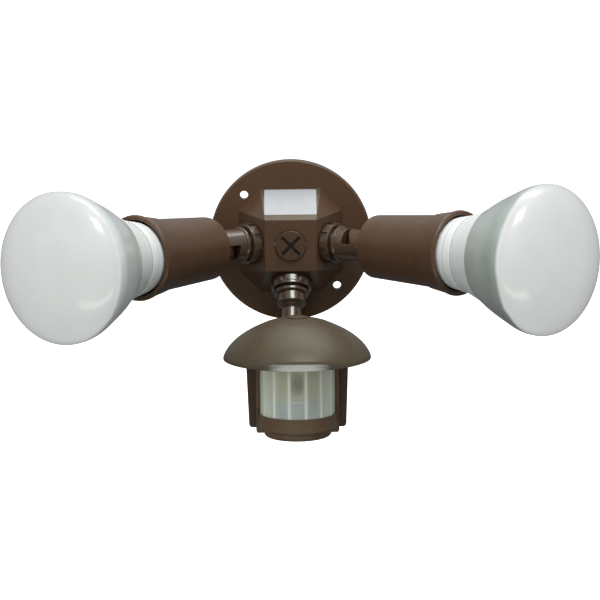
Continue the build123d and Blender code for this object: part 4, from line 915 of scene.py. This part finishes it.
# %% World
dim, tent_top, table_light = 0.10, 0.68, 0.45
dim_from, bright_from = -0.35, 0.8      # heights of a direction of length one
table_from, straight_down = -0.80, -1.0
world = bpy.data.worlds.new("studio_world")
bpy.context.scene.world = world
world.use_nodes = True
tree = world.node_tree
tree.nodes.clear()
direction = lay(tree, "ShaderNodeTexCoord").outputs["Generated"]
up = lay(tree, "ShaderNodeSeparateXYZ", {"Vector": direction}).outputs["Z"]
above = remap(tree, up, dim_from, bright_from, dim, tent_top)
table = remap(tree, up, table_from, straight_down, dim, table_light)
bright = reckon(tree, "MAXIMUM", above, table)
seen = lay(tree, "ShaderNodeLightPath").outputs["Is Camera Ray"]
tent_colour, white = (0.96, 0.98, 1.0, 1.0), (1.0, 1.0, 1.0, 1.0)
around = lay(tree, "ShaderNodeBackground", {"Color": tent_colour, "Strength": bright})
behind = lay(tree, "ShaderNodeBackground", {"Color": white, "Strength": 1.0})
either = lay(tree, "ShaderNodeMixShader", {0: seen, 1: around.outputs[0], 2: behind.outputs[0]})
lay(tree, "ShaderNodeOutputWorld", {"Surface": either.outputs[0]})
print("world: straight up", tent_top, "below the horizon", dim, "straight down", table_light)

# %% [markdown]
# ## Studio: the softboxes
#
# The overhead light is the main one, and it is placed for the bright crescent on
# both bulbs. The back light is there for the top slopes, and two plain fills soften
# the shade without a patch of their own on the glass. The table card stands for a
# strip of lit table low in front, for the hood's band to mirror.

# %% Softboxes
middle = Vector((0.0, -0.06, -0.03))


def softbox(name, at, width, height, watts, colour=(1.0, 1.0, 1.0), mirrored=True):
    """A soft rectangular light at a place, turned to the middle of the object. One that
    isn't mirrored lights the piece without a bright patch of its own on gloss."""
    data = bpy.data.lights.new(name, "AREA")
    data.shape = "RECTANGLE"
    data.size, data.size_y = width, height
    data.energy = watts
    data.color = colour
    lamp = bpy.data.objects.new(name, data)
    lamp.visible_glossy = mirrored
    lamp.location = at
    lamp.rotation_euler = (middle - Vector(at)).to_track_quat("-Z", "Y").to_euler()
    bpy.context.scene.collection.objects.link(lamp)
    print(name, "at", at, "with", watts, "W")


softbox("overhead", at=(0.28, -0.95, 1.50), width=0.75, height=0.6, watts=19.0)
softbox("back_top", at=(0.30, 0.55, 1.70), width=1.5, height=0.7, watts=13.0)
softbox("window_left", at=(-1.9, -1.3, 0.7), width=0.7, height=0.9, watts=9.0,
        colour=(0.95, 0.98, 1.0), mirrored=False)
softbox("fill_front", at=(-0.5, -2.5, 0.45), width=1.2, height=0.9, watts=6.5, mirrored=False)
softbox("table_card", at=(0.05, -1.30, -0.85), width=2.6, height=0.24, watts=8.0,
        colour=(0.93, 1.0, 0.93))

# %% [markdown]
# ## Camera
#
# The camera was found by matching the plate's circle, its screw holes, the
# corners of the boss and the outlines of both lamps with the photograph. It
# stands almost straight ahead, nine degrees above the light, at about one and a
# half metres, and leans by half a degree. Its axes are worked out from those
# angles, so no aiming by hand is needed.

# %% Camera at the photograph's angle
view_azimuth = np.radians(-0.2)
view_elevation = np.radians(9.34)
view_roll = np.radians(-0.6)
view_distance = 1.5706
focal_pixels = 2282.6
frame_pixels = 600
sensor_mm = 36.0
nearest_seen, farthest_seen = 0.05, 50.0
aimed_at = np.array([5.93, 0.0, -42.31]) * millimetre


def camera_matrix():
    """Axes from azimuth, elevation and roll: back points from the target to the
    camera, right is level, and both right and up are then turned by the roll."""
    level = np.cos(view_elevation)
    back = np.array([
        np.sin(view_azimuth) * level, -np.cos(view_azimuth) * level, np.sin(view_elevation)])
    right = np.cross(-back, (0, 0, 1))
    right /= np.linalg.norm(right)
    up = np.cross(right, -back)
    leaned_right = right * np.cos(view_roll) + up * np.sin(view_roll)
    leaned_up = up * np.cos(view_roll) - right * np.sin(view_roll)
    matrix = np.eye(4)
    matrix[:3, :3] = np.stack([leaned_right, leaned_up, back], axis=1)
    matrix[:3, 3] = aimed_at + back * view_distance
    return Matrix(matrix.tolist())


camera_data = bpy.data.cameras.new("photo_camera")
camera_data.sensor_width = sensor_mm
camera_data.sensor_fit = "HORIZONTAL"
camera_data.lens = focal_pixels / frame_pixels * sensor_mm
camera_data.clip_start = nearest_seen
camera_data.clip_end = farthest_seen
camera = bpy.data.objects.new("photo_camera", camera_data)
camera.matrix_world = camera_matrix()
bpy.context.scene.collection.objects.link(camera)
bpy.context.scene.camera = camera
bpy.context.scene.view_settings.view_transform = "Standard"
print("lens", round(camera_data.lens, 1), "mm")
